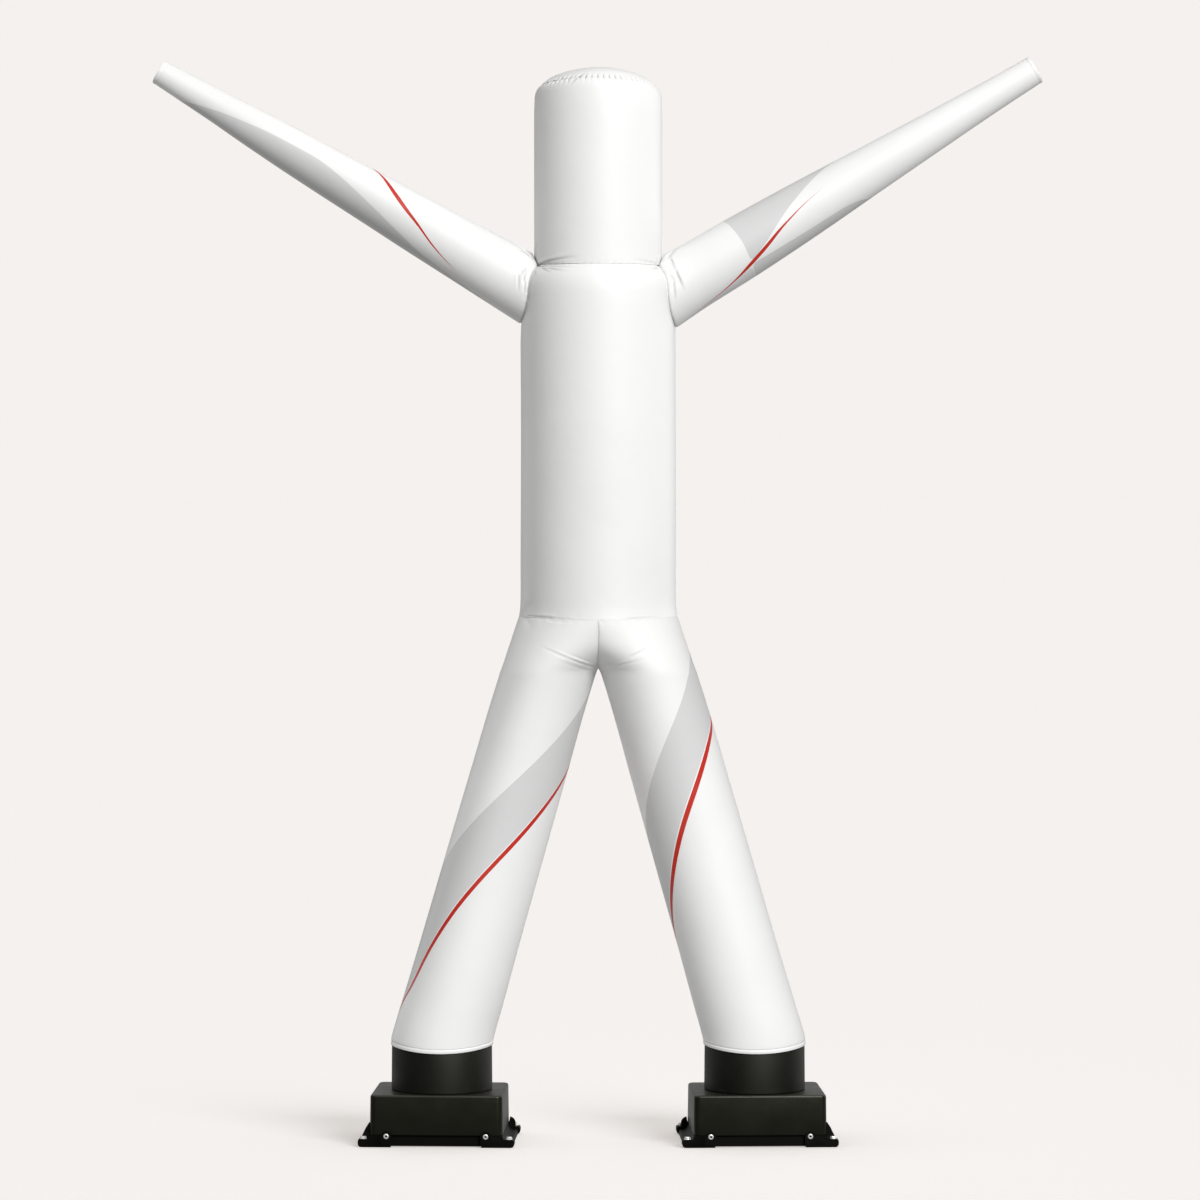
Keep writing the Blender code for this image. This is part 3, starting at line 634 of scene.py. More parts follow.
# %% [markdown]
# ## The torso's cloth
# What moves the torso's surface: slow swells, which calm down towards the seams, the puckers and curls of
# the neck and hip seams, the dips of the armholes, and the creases that were pulled in where the neck seam
# meets the sleeves. The hip seam hangs a little lower at front and back. A simulation could fold the same
# cloth, but it would not fold in the same places twice.

# %% Torso seams
TORSO_RADIUS = 0.3556
NECK_SEAM_RADIUS = 0.305        # of the neck's creases, at the torso
HIP_SEAM_RADIUS = 0.360
HIP_PUCKERS = Pucker(46, 0.0009, 0.018, 21)
NECK_PUCKERS = Pucker(52, 0.0010, 0.020, 31)
HIP_CURL = Curl(0.0020, 0.0030)
NECK_CURL = Curl(0.0024, 0.0028)
SWELL_SEEDS = {
    "torso": 11, "head": 12, "cap": 13,
    "arm_left": 13, "arm_right": 15,
    "leg_left": 60, "leg_right": 62,
}
# creases of the neck seam; a is a turn from the front in degrees, b a height
NECK_CREASES_BELOW = table_of(Crease, (-66, 4.0055, -36, 4.0010, 0.0034, 0.0044),
    (-46, 4.0000, -18, 3.9950, 0.0038, 0.0034), (-52, 3.9970, -24, 3.9735, 0.0050, 0.0040),
    (-56, 3.9950, -40, 3.9710, 0.0050, 0.0040), (-66, 3.9900, -58, 3.9550, 0.0060, 0.0028),
    (64, 3.9990, 40, 3.9890, 0.0050, 0.0020), (60, 3.9950, 44, 3.9700, 0.0060, 0.0016))
NECK_CREASES_ABOVE = table_of(Crease, (-70, 4.0140, -16, 4.0460, 0.0056, 0.0064),
    (-60, 4.0140, -28, 4.0210, 0.0042, 0.0026), (66, 4.0160, 30, 4.0330, 0.0065, 0.0020))
# the hip seam puckers most at the front's left, where two layers of it lie on each other
HIP_CREASES_ABOVE = table_of(Crease, (-62, 2.4150, -14, 2.4110, 0.0032, 0.0017),
    (-34, 2.4230, -56, 2.4260, 0.0080, -0.0014), (-74, 2.4300, -50, 2.5000, 0.0260, 0.0022),
    (22, 2.4120, 50, 2.4140, 0.0040, 0.0012))


def hip_lift(height):
    """The hip seam's dip, which fades out over 0.3 m above and below it."""
    return -HIP_DIP * (1.0 - smoothstep(np.abs(height - HIP_SEAM) / 0.30))


def torso_creases(turn, height):
    """Relief of the creases that start from the torso's seams, below the neck and above the hip."""
    neck = degrees_across(NECK_CREASES_BELOW, NECK_SEAM_RADIUS)
    hip = degrees_across(HIP_CREASES_ABOVE, HIP_SEAM_RADIUS)
    return (creases(neck, turn * NECK_SEAM_RADIUS, height, lip=0.5)
            + creases(hip, turn * HIP_SEAM_RADIUS, height))


def torso_surface(turn, s):
    """Point of the torso's cloth: the turned outline, moved out by the sum of its reliefs."""
    below_neck = torso_outline.length - s
    radius, height, _, _ = torso_outline.at(s)
    calm = ramp(s, 0.20) * ramp(below_neck, 0.30)
    curls = seam_curl(s, HIP_CURL) + seam_curl(below_neck, NECK_CURL)
    relief = (0.0016 * billow(turn, height, SWELL_SEEDS["torso"]) * calm
              + puckers(turn, s, HIP_PUCKERS) + puckers(turn, below_neck, NECK_PUCKERS)
              + torso_creases(turn, height) + curls * pulled_side(turn)
              + armhole_groove(turn, radius, height))
    return turned(turn, s, torso_outline, relief, hip_lift(height))


def sewn(name, replaced, points, uv, neighbours, **settings):
    """The piece of cloth over a grid of points, which stands for a solid. neighbours, the pieces that it lies
    on, is not used.
    """
    piece = place(cloth_mesh(name, points, uv, **settings), cloth_finish, "cloth", [replaced])
    return piece


print("the hip seam's puckers are", 1000 * HIP_PUCKERS.depth, "mm deep")

# %% [markdown]
# ## The torso as a piece
# Rows crowd at both seams and run evenly across the armholes, and columns crowd at the sides. The map of
# the cloth unrolls the tube: the turn as a length round it, and the length up it.

# %% Torso
SEAM_ROW = 0.0018               # between the rows nearest to a seam
ARMHOLE_ROW = 0.006
low, high = ARMHOLE_ROWS
top = torso_outline.length
s = np.concatenate([
    spaced(SEAM_GAP / 2, low, SEAM_ROW, 0.080, (0.0,), 0.046),
    np.arange(low + ARMHOLE_ROW, high - ARMHOLE_ROW / 2, ARMHOLE_ROW),
    spaced(high, top - SEAM_GAP / 2, SEAM_ROW, ARMHOLE_ROW, (top,), 0.046),
])[:, None]
half = spaced(0.0, math.pi, math.radians(0.72), math.radians(1.25), np.radians([76, 104]), 0.30)
turn = np.concatenate([-half[:0:-1], half])[None, :]
uv = np.stack(np.broadcast_arrays(turn * TORSO_RADIUS, s), axis=-1)
# painted shade in the troughs of the torso's creases
fields = {"seam_shade": crease_shade(torso_creases(turn, torso_outline.at(s)[1]))}
sewn("torso_cloth", "torso", torso_surface(turn, s), uv, ("leg_left", "leg_right"), fields=fields)

# %% [markdown]
# ## The head and its cap
# The head is a second tube. Its top is a disc of cloth, cut larger than the tube and gathered on to it, so
# the seam puckers all round: about sixty small pleats that run down the tube and up the disc. The
# seam is a little higher at front and back, where the disc was eased in.

# %% Head and cap
HEAD_RADIUS = 0.2912
NECK_CREASE_RADIUS = 0.287      # of the neck's creases, at the head
CAP_PLEATS = 60
CAP_CURL = Curl(0.0034, 0.0030)
HEAD_NECK_PUCKERS = Pucker(52, 0.0010, 0.016, 31)
CAP_REACH = {"head": 0.022, "cap": 0.019, "shade_marks": 0.014}      # how far the cap seam's pleats run


def head_lift(height):
    """The cap seam's lift, which fades out down the head and towards the middle of the cap."""
    fades_from = 4.60
    below = ramp(height - fades_from, CAP_SEAM - fades_from)
    above = ramp(CAP_APEX - height, CAP_APEX - CAP_SEAM)
    return CAP_SEAM_LIFT * np.minimum(below, above)


def gathers(turn, above, reach):
    """The pleats of the cap seam at a length above it, deepest at the front's left, where most of the disc
    was eased in, with one long slanted pleat beside them."""
    uneven = 0.40 + 1.00 * bell((np.degrees(turn) + 50.0) / 28.0)
    slanted = 0.0065 * bell((turn + 0.35 - 2.4 * above) / 0.019) * bell(above / 0.026)
    pleats = puckers(turn, np.abs(above), Pucker(CAP_PLEATS, 0.0090, reach, 41), share=0.36, spread=0.70)
    return uneven * pleats - slanted


def head_creases(turn, height):
    """Relief of the creases that run up from the neck seam."""
    across = degrees_across(NECK_CREASES_ABOVE, NECK_CREASE_RADIUS)
    return creases(across, turn * NECK_CREASE_RADIUS, height, lip=0.5)


def gather_shade(turn, above):
    """Painted shade in the deep pleats of the cap seam, and a broken line of painted shade along its stitches
    on the side where it was eased in.
    """
    eased = bell((np.degrees(turn) + 58.0) / 24.0)
    broken = np.clip(0.5 + 0.9 * np.cos(CAP_PLEATS / 2 * turn + 0.8), 0.0, 1.0)
    line = 0.95 * eased * broken * bell(above / 0.0055)
    return np.maximum(line, crease_shade(gathers(turn, above, CAP_REACH["shade_marks"]), 0.85, 0.0048))


def head_surface(turn, s):
    """Point of the head's cloth: the turned outline, moved out by the sum of its reliefs."""
    below_cap = head_outline.length - s
    height = head_outline.at(s)[1]
    relief = (0.0012 * billow(turn, height, SWELL_SEEDS["head"]) * ramp(s, 0.25) * ramp(below_cap, 0.25)
              + gathers(turn, -below_cap, CAP_REACH["head"]) + puckers(turn, s, HEAD_NECK_PUCKERS)
              + head_creases(turn, height) + seam_curl(s, NECK_CURL) * pulled_side(turn)
              + seam_curl(below_cap, CAP_CURL))
    return turned(turn, s, head_outline, relief, head_lift(height))


def cap_surface(turn, s):
    """Point of the cap: the turned outline, moved out by its gathers and by swells that spare its middle."""
    radius, height, _, _ = cap_outline.at(s)
    swells = 0.0016 * billow(turn, 0.0 * s, SWELL_SEEDS["cap"]) * ramp(radius, 0.10) * ramp(s, 0.08)
    relief = gathers(turn, s, CAP_REACH["cap"]) + seam_curl(s, CAP_CURL) + swells
    return turned(turn, s, cap_outline, relief, head_lift(height))


print("the head is", round(2 * HEAD_RADIUS, 3), "m across, with", CAP_PLEATS, "pleats at its cap")

# %% [markdown]
# ## The head and the cap as pieces
# The head's tube is sewn on as the torso is. The cap's rows end in a pole, so its innermost faces are
# triangles; the cap is a flat disc, gathered.

# %% Head and cap pieces
top = head_outline.length
turn, s = turned_grid(600, spaced(SEAM_GAP / 2, top - SEAM_GAP / 2, 0.0022, 0.095, (0.0, top), 0.034))
uv = np.stack(np.broadcast_arrays(turn * HEAD_RADIUS, s), axis=-1)
# painted shade in the head's creases and in the cap seam's pleats and along its stitches
shade = crease_shade(head_creases(turn, head_outline.at(s)[1])) + gather_shade(turn, s - top)
sewn("head_cloth", "head_tube", head_surface(turn, s), uv, ("torso",), fields={"seam_shade": shade})

turn, s = turned_grid(540, spaced(SEAM_GAP / 2, cap_outline.length, 0.0022, 0.030, (0.0,), 0.030))
points = cap_surface(turn, s)
# painted shade in the cap's pleats and along its seam
mesh = cloth_mesh("cap_cloth", points, points[..., :2], ends_in_pole=True,
                  fields={"seam_shade": gather_shade(turn, s)})
cap = place(mesh, cloth_finish, "cloth", ["head_cap"])

# %% [markdown]
# ## The sleeves
# Each arm is one tapered tube, sewn into a hole at the shoulder and cut off flat at the cuff, where the air
# leaves. The sleeve's inner end has to follow the shoulder. A Boolean would cut it there, but would leave
# long thin faces, so the grid's first row is laid on the body: for each turn round the sleeve, halving finds
# the length at which that line of the sleeve leaves the body.

# %% Sleeve sizes
ARMHOLE_SKEW = 0.052        # the armhole runs this much further out at its top than at its middle
SKEW_REACH = 0.40           # where along the arm the rows are square to it again
CUFF_HEM = Hem(0.016, 0.0008, 0.0012, 0.0025)
CREASE_RADIUS = 0.150           # of the sleeve where its creases are
SLEEVE_RADIUS = 0.12            # for the cloth's map
ARMHOLE_CURL = Curl(0.0070, 0.0060)
ARMHOLE_PUCKERS = {"left": Pucker(34, 0.0014, 0.020, 50), "right": Pucker(34, 0.0014, 0.020, 52)}
# folds at the armhole; a is a turn from the sleeve's top over its front in degrees, b a length along it
SLEEVE_CREASES = {
    "left": table_of(Crease, (60, 0.026, 81, 0.050, 0.0048, 0.0042),
        (80, 0.050, 104, 0.034, 0.0060, 0.0040), (64, 0.022, 95, 0.022, 0.0040, 0.0048),
        (84, 0.012, 108, 0.004, 0.0040, 0.0034), (30, 0.020, 4, 0.130, 0.0056, 0.0090),
        (20, 0.030, 30, 0.090, 0.0120, 0.0026)),
    "right": table_of(Crease, (40, 0.042, 72, 0.052, 0.0050, 0.0050),
        (70, 0.051, 106, 0.066, 0.0060, 0.0052), (84, 0.024, 116, 0.012, 0.0050, 0.0040),
        (70, 0.020, 88, 0.036, 0.0060, 0.0022), (30, 0.036, 6, 0.100, 0.0120, 0.0034)),
}


def sleeve_point(side, turn, t, relief=0.0):
    """Point at a turn from the top over the front and a length t from the armhole. Near the armhole the rows
    lean with it, and they stand square to the arm from SKEW_REACH on."""
    arm = arm_frame(side)
    out = t + ARMHOLE_SKEW * np.cos(turn) * (1.0 - ramp(t, SKEW_REACH))
    radius = arm_radius(side, t) + relief
    return (arm.root + out[..., None] * arm.along + (radius * np.cos(turn))[..., None] * arm.up
            + (radius * np.sin(turn))[..., None] * arm.front)


BODY = [girth for girth in TORSO if girth.height > 3.0] + [girth for girth in HEAD[1:] if girth.height < 4.6]


def body_radius(height):
    """Radius of the torso and the head at a height, from the shoulders to the head."""
    return look_up(BODY, height, "height", "radius")


def armhole(side, turn):
    """Length t at which each line of the sleeve leaves the body, found by halving an interval."""
    low, high = np.full(turn.shape, -0.20), np.full(turn.shape, 0.30)
    for _ in range(26):
        middle = (low + high) / 2
        point = sleeve_point(side, turn, middle)
        outside = np.hypot(point[..., 0], point[..., 1]) > body_radius(point[..., 2]) + SEAM_GAP
        low, high = np.where(outside, low, middle), np.where(outside, middle, high)
    return high


sleeve_top = armhole("left", np.zeros(1)).item()
print("the left sleeve's top leaves the body", round(sleeve_top, 3), "m from its root")

# %% [markdown]
# ## The sleeve's cloth
# Its relief is the body's: swells, puckers and a curl at the armhole, folds where the front of the armhole
# pulls, and a hem at the cuff. The share along the sleeve goes from the armhole seam, wherever that is on a
# line of the sleeve, to the cuff.

# %% Sleeve surface
def sleeve_creases(side, turn, t):
    """Relief of the creases that the pull on the sleeve leaves in it."""
    return creases(degrees_across(SLEEVE_CREASES[side], CREASE_RADIUS), turn * CREASE_RADIUS, t, lip=0.5)


def sleeve_length(side, turn, share):
    """Length t at a share of the way from the armhole seam to the cuff's edge."""
    start = armhole(side, turn)
    return start + (arm_frame(side).length - start) * share


def sleeve_surface(side, turn, share):
    """Point of the finished sleeve: the tapered tube, moved out by the sum of its reliefs."""
    t = sleeve_length(side, turn, share)
    away, before_cuff = t - armhole(side, turn), arm_frame(side).length - t
    swells = 0.0010 * billow(turn, t, SWELL_SEEDS[f"arm_{side}"]) * ramp(away, 0.15) * ramp(before_cuff, 0.10)
    relief = (swells + puckers(turn, away, ARMHOLE_PUCKERS[side]) + seam_curl(away, ARMHOLE_CURL)
              + sleeve_creases(side, turn, t) + hem_band(before_cuff, CUFF_HEM))
    return sleeve_point(side, turn, t, relief)


print("the cuffs' hems are", 1000 * CUFF_HEM.height, "mm high")

# %% [markdown]
# ## The print
# Grey bands and thin red stripes wind round the sleeves and legs. On the flat cloth each edge is a gentle
# curve, so an edge is a short table of lengths and turns. What the shader needs is how far a point lies from
# the edge: the difference in turn, as a length round the tube, times the cosine of the edge's slant.

# %% Print edges
Edge = namedtuple("Edge", "along turn")      # metres along the piece, degrees round it
SLEEVE_GREY = {
    "left": table_of(Edge, (0.05, 188), (0.12, 172), (0.26, 158), (0.40, 151), (0.50, 144), (0.62, 129),
        (0.76, 112), (0.90, 96), (1.02, 84), (1.14, 77), (1.34, 80), (1.55, 95), (1.72, 125), (1.86, 185)),
    "right": table_of(Edge, (0.300, 128), (0.50, 131), (0.70, 134), (0.86, 136), (0.95, 145), (1.04, 185)),
}
PANEL_START = table_of(Edge, (0.365, 0), (0.388, 50), (0.395, 82), (0.389, 113), (0.380, 150))
PANEL_EDGE = table_of(Edge, (0.389, 124), (0.487, 107), (0.565, 91), (0.658, 72), (0.745, 56), (0.868, 30),
    (0.996, -2))
SLEEVE_RED = {
    "left": table_of(Edge, (0.29, 138), (0.406, 122), (0.475, 111), (0.567, 93), (0.674, 73), (0.752, 54),
        (0.845, 23), (0.93, -8)),
    "right": table_of(Edge, (0.10, 162), (0.211, 152), (0.287, 142), (0.385, 127), (0.494, 112),
        (0.566, 101), (0.647, 91), (0.737, 81), (0.933, 65)),
}
Width = namedtuple("Width", "along half")     # half width of a red stripe along its way
SLEEVE_RED_WIDTH = {
    "left": table_of(Width, (0.28, -0.0008), (0.40, 0.0025), (0.55, 0.0050), (0.72, 0.0098),
        (0.79, 0.0088), (0.84, 0.0070), (0.90, 0.0036), (0.95, -0.0008)),
    "right": table_of(Width, (0.09, 0.0010), (0.29, 0.0050), (0.39, 0.0095), (0.49, 0.0085),
        (0.60, 0.0048), (0.74, 0.0016), (0.80, 0.0008), (0.92, -0.0004)),
}
LEG_GREY = {
    "left": table_of(Edge, (0.768, -90), (1.338, 24), (1.668, 90), (1.988, 154), (2.550, 266)),
    "right": table_of(Edge, (0.830, 270), (1.450, 163), (1.664, 126), (1.870, 90), (2.055, 55),
        (2.140, 37), (2.207, 18), (2.255, 0), (2.420, -70)),
}
LEG_RED = {
    "left": table_of(Edge, (0.435, -18), (0.605, 7), (0.720, 26), (0.861, 38), (1.054, 59), (1.211, 81),
        (1.401, 113), (1.635, 157), (2.100, 270)),
    "right": table_of(Edge, (0.240, 270), (1.025, 162), (1.200, 138), (1.470, 100), (1.674, 67),
        (1.768, 50), (1.843, 34), (1.900, 18), (1.960, 0), (2.240, -90)),
}
LEG_RED_HALF = 0.0108
KEYLINE = 0.0045            # bare white line between a band and its stripe


def off_edge(edge, turn_degrees, along, radius):
    """Distance over the cloth from an edge, positive on the side of the larger turn."""
    step = 0.002
    here = look_up(edge, along, "along", "turn")
    slope = (look_up(edge, along + step, "along", "turn") - here) / step
    per_degree = math.radians(1.0) * radius
    return (turn_degrees - here) * per_degree / np.hypot(1.0, slope * per_degree)


edges = [edge for table in (SLEEVE_GREY, SLEEVE_RED, LEG_GREY, LEG_RED) for edge in table.values()]
edges += [PANEL_START, PANEL_EDGE]
print(len(edges), "edges of print, read from", sum(map(len, edges)), "points")

# %% [markdown]
# ## What is printed on a sleeve
# Shade is painted into the cloth at the armhole's seam, in the notch between a sleeve's top and the head, and
# in the folds. The right sleeve's print has more parts: a grey panel that starts on a line across the sleeve,
# and the red stripe's pale foot before it.

# %% Sleeve print
NOTCH_SHADE = {"left": 0.62, "right": 0.25}     # painted shade in the notch between a sleeve's top and the head
NOTCH_TURN, NOTCH_SPREAD = 22.0, 26.0           # degrees from the sleeve's top over its front
FADED_LINE = Width(0.82, 0.0014)                # where the right stripe only just shows, and half its width
FADED_REACH = 0.1


def sleeve_shade(side, turn, t):
    """Share of painted shade: at the armhole's seam, fainter on the right sleeve's top, in the notch and the
    folds.
    """
    degrees = np.degrees(turn)
    away = t - armhole(side, turn)
    low_front = smoothstep((degrees - 70.0) / 40.0) if side == "right" else 1.0
    at_seam = (0.20 + 0.60 * low_front) * bell(away / 0.0058)
    notch = NOTCH_SHADE[side] * bell((degrees - NOTCH_TURN) / NOTCH_SPREAD) * bell(away / 0.030)
    return np.maximum(np.maximum(at_seam, notch), crease_shade(sleeve_creases(side, turn, t), 0.42))


def sleeve_print(side, turn, t):
    """Distances inside the grey and the red print of a sleeve. The grey is the same on the back."""
    radius = arm_radius(side, t)
    round_turn = np.degrees(np.abs(turn))
    grey = off_edge(SLEEVE_GREY[side], round_turn, t, radius)
    red_line = off_edge(SLEEVE_RED[side], np.degrees(turn), t, radius)
    red_half = look_up(SLEEVE_RED_WIDTH[side], t, "along", "half")
    fields = {"grey_print": grey, "red_line": red_line, "red_half": red_half,
              "seam_shade": sleeve_shade(side, turn, t)}
    if side == "right":
        past_start = t - look_up(PANEL_START, round_turn, "turn", "along")
        panel = np.minimum(past_start, -off_edge(PANEL_EDGE, round_turn, t, radius))
        fields["grey_print"] = np.maximum(panel, np.minimum(grey, past_start))
        wedge = np.minimum(red_line - red_half, -past_start) - KEYLINE / 2
        runs_on = np.minimum(FADED_LINE.half - np.abs(red_line), FADED_REACH - np.abs(t - FADED_LINE.along))
        fields["pale_print"] = np.maximum(wedge, runs_on)
    return fields


widest = max(row.half for table in SLEEVE_RED_WIDTH.values() for row in table)
print("the sleeves' stripes are at most", round(2000 * widest, 1), "mm wide")

# %% [markdown]
# ## The sleeves as pieces
# The left grid is the right one's mirror image, so its turns run the other way and its faces still look
# outward. The cuff's hem is folded, so the cloth is twice as thick there.

# %% Sleeves
FOLD_ROWS = np.linspace(0.02, 0.09, 22)         # more rows across the folds, as shares of the way to the cuff
for side, sign in SIDES.items():
    turn = np.linspace(-math.pi, math.pi, 161)[None, :] * sign
    share = spaced(0.0, 1.0, 0.0016, 0.020, (0.0, 1.0), 0.018)
    share = np.unique(np.concatenate([share, FOLD_ROWS]))[:, None]
    turn, share = np.broadcast_arrays(turn, share)
    points, t = sleeve_surface(side, turn, share), sleeve_length(side, turn, share)
    uv = np.stack([turn * SLEEVE_RADIUS, t], axis=-1)
    hemmed = arm_frame(side).length - t < CUFF_HEM.height
    wall = np.where(hemmed, 2.0, 1.0) * CLOTH
    sewn(f"arm_{side}_cloth", f"arm_{side}", points, uv, ("torso", "head_tube"),
         thickness=wall, fields=sleeve_print(side, turn, t))

# %% [markdown]
# ## The legs and the seat
# A leg and its half of the seat are one cloth. Below the crotch it is a closed tube. Above, the tube is cut
# open where it meets the other leg, and the two cut edges are sewn together in the middle. One grid
# serves for both: its columns run from the middle seam at the back, round the outside, to the middle
# seam at the front, and below the crotch the first and the last column are the same line.

# %% Leg sizes
LegGirth = namedtuple("LegGirth", "height centre half_width half_depth")
LEG = table_of(LegGirth, (0.435, RING_X, 0.2345, 0.2345), (0.475, 0.7150, 0.2365, 0.2350),
    (0.550, 0.6925, 0.2362, 0.2335), (0.660, 0.6605, 0.2348, 0.2330), (0.914, 0.5880, 0.2305, 0.2335),
    (1.280, 0.4835, 0.2272, 0.2365), (1.650, 0.3778, 0.2242, 0.2520), (2.018, 0.2720, 0.2215, 0.2960),
    (2.110, 0.2430, 0.2212, 0.3128), (CROTCH, 0.2258, 0.2222, 0.3220), (2.182, 0.2105, 0.2293, 0.3258),
    (2.204, 0.1905, 0.2417, 0.3297), (2.226, 0.1685, 0.2565, 0.3336), (2.248, 0.1450, 0.2725, 0.3374),
    (2.270, 0.1215, 0.2883, 0.3413), (2.292, 0.0980, 0.3042, 0.3452), (2.314, 0.0750, 0.3200, 0.3491),
    (2.336, 0.0535, 0.3345, 0.3530), (2.360, 0.0305, 0.3495, 0.3572), (2.382, 0.0125, 0.3600, 0.3608),
    (2.396, 0.0038, 0.3637, 0.3628), (HIP_SEAM, 0.0, HIP_RADIUS, HIP_RADIUS))
HEM = 0.435
LEG_HEM = Hem(0.017, 0.0012, 0.0024, 0.0024)
HEM_DIP = 0.020             # how much lower the hem hangs at front and back
HEM_WALL = 0.0036           # the folded hem hugs the outlet ring
LEG_RADIUS = 0.23           # for the cloth's map
MIDDLE_CURLS = (Curl(0.0042, 0.0042), Curl(0.0010, 0.0200))
LEG_PUCKERS = {"left": Pucker(40, 0.0012, 0.018, 70), "right": Pucker(40, 0.0012, 0.018, 72)}
# creases of the seat's front; a is outward from the middle seam, b a height
SEAT_CREASES = {
    "left": table_of(Crease, (0.026, 2.180, 0.160, 2.238, 0.0056, 0.0036),
        (0.150, 2.232, 0.276, 2.286, 0.0060, 0.0022), (0.050, 2.196, 0.180, 2.256, 0.0058, -0.0028),
        (0.060, 2.168, 0.200, 2.222, 0.0080, 0.0012), (0.330, 2.400, 0.296, 2.352, 0.0140, 0.0026),
        (0.225, 2.3975, 0.100, 2.3930, 0.0036, 0.0016)),
    "right": table_of(Crease, (0.024, 2.181, 0.105, 2.216, 0.0056, 0.0018),
        (0.086, 2.189, 0.214, 2.224, 0.0056, 0.0016), (0.155, 2.236, 0.256, 2.290, 0.0066, 0.0018)),
}


def leg_section(height):
    """Centre, half width and half depth of a leg's oval at a height."""
    return [look_up(LEG, height, "height", column) for column in ("centre", "half_width", "half_depth")]


def leg_turn(share, height):
    """Turn round the oval, 0 at the outside and 90 degrees at the front. share is -1 at the back's middle
    seam and 1 at the front's; below the crotch both are the line at half a turn."""
    centre, half_width, _ = leg_section(height)
    return share * np.arccos(np.clip((SEAM_GAP / 2 - centre) / half_width, -1.0, 1.0))


def seat_creases(side, x, y, height):
    """The creases of the seat: all on its front, and the first two at half their depth on its back."""
    front = creases(SEAT_CREASES[side], x, height, lip=0.5) * (y < 0)
    return front + 0.5 * creases(SEAT_CREASES[side][:2], x, height, lip=0.5) * (y > 0)


print("below the crotch a leg is", round(2 * leg_section(CROTCH)[1].item(), 3), "m wide")

# %% [markdown]
# ## The leg's cloth
# Relief moves a point along the oval's own normal, but never over the middle seam, where the other leg's
# cloth begins. The seams at the hip and in the middle draw the cloth in, and the hem hugs the outlet ring.

# %% Leg surface
def leg_surface(side, share, height):
    """Point of a leg's cloth on its oval, moved out by the relief; the hem hangs lower at front and back."""
    centre, half_width, half_depth = leg_section(height)
    turn = leg_turn(share, height)
    x, y = centre + half_width * np.cos(turn), -half_depth * np.sin(turn)
    out_x, out_y = np.cos(turn) / half_width, -np.sin(turn) / half_depth
    size = np.hypot(out_x, out_y)
    above_hem, below_hip = height - HEM, HIP_SEAM - height
    swells = 0.0015 * billow(turn, height, SWELL_SEEDS[f"leg_{side}"])
    at_middle = ramp(height - CROTCH, 0.03) * (np.abs(share) > 0.5) * ramp(below_hip, 0.05)
    relief = (swells * ramp(above_hem, 0.20) * ramp(below_hip, 0.20)
              + puckers(turn, below_hip, LEG_PUCKERS[side]) * (centre < half_width)
              + seat_creases(side, x, y, height)
              + sum(seam_curl(x, curl) for curl in MIDDLE_CURLS) * at_middle
              + seam_curl(below_hip, HIP_CURL) * pulled_side(SIDES[side] * (math.pi / 2 - turn))
              + hem_band(above_hem, LEG_HEM))
    off_seam = np.where(height > CROTCH - 0.01, smoothstep(x / 0.015), 1.0)
    x = np.maximum(x + relief * out_x / size * off_seam, SEAM_GAP / 2)
    y = y + relief * out_y / size
    dip = HEM_DIP * (1.0 - smoothstep((above_hem - LEG_HEM.height) / 0.09)) - hip_lift(height)
    return np.stack([x * SIDES[side], y, height - dip * (y / half_depth) ** 2], axis=-1)


print("the hem hangs", 1000 * HEM_DIP, "mm lower at front and back")

# %% [markdown]
# ## What is printed on a leg
# Both prints wind on round the back of a leg, so a point is looked up whole turns before and after as well.
# It is inside the band if it is in any of these turns. The line has a sign, which flips halfway between two
# of its turns and would draw a false line there, so away from the line its width is below zero.

# %% Leg print
WHOLE_TURNS = (-360.0, 0.0, 360.0, 720.0)
LINE_REACH = 0.1                # how far from its middle the red line is looked for


def leg_print(side, turn, height):
    """Distances inside the grey band and off the red line of a leg: of those at whole turns the largest one
    inside the band, and the least one off the line. The painted shade is in the middle seam and the seat's
    creases."""
    centre, half_width, _ = leg_section(height)
    band, red_line = -1.0, 1.0
    for whole in WHOLE_TURNS:
        degrees = np.degrees(turn) + whole
        grey, red = (off_edge(edge[side], degrees, height, half_width) for edge in (LEG_GREY, LEG_RED))
        before_red = SIDES[side] * red - LEG_RED_HALF - KEYLINE
        band = np.maximum(band, np.minimum(-SIDES[side] * grey, before_red))
        red_line = np.where(np.abs(red) < np.abs(red_line), red, red_line)
    red_half = np.where(np.abs(red_line) < LINE_REACH, LEG_RED_HALF, -LINE_REACH)
    x = centre + half_width * np.cos(turn)
    front_creases = creases(SEAT_CREASES[side], x, height, lip=0.5) * (turn > 0)
    shade = 0.26 * bell(x / 0.0030) * smoothstep((height - CROTCH) / 0.02) + crease_shade(front_creases, 0.05)
    return {"grey_print": band, "red_line": red_line, "red_half": red_half, "seam_shade": shade}


print("the legs' stripes are", 2000 * LEG_RED_HALF, "mm wide")

# %% [markdown]
# ## The legs as pieces
# Columns crowd at the middle seam. Rows crowd at the hem, round the crotch, across the seat's creases and at
# the hip seam. Below the crotch the first and the last column are welded.

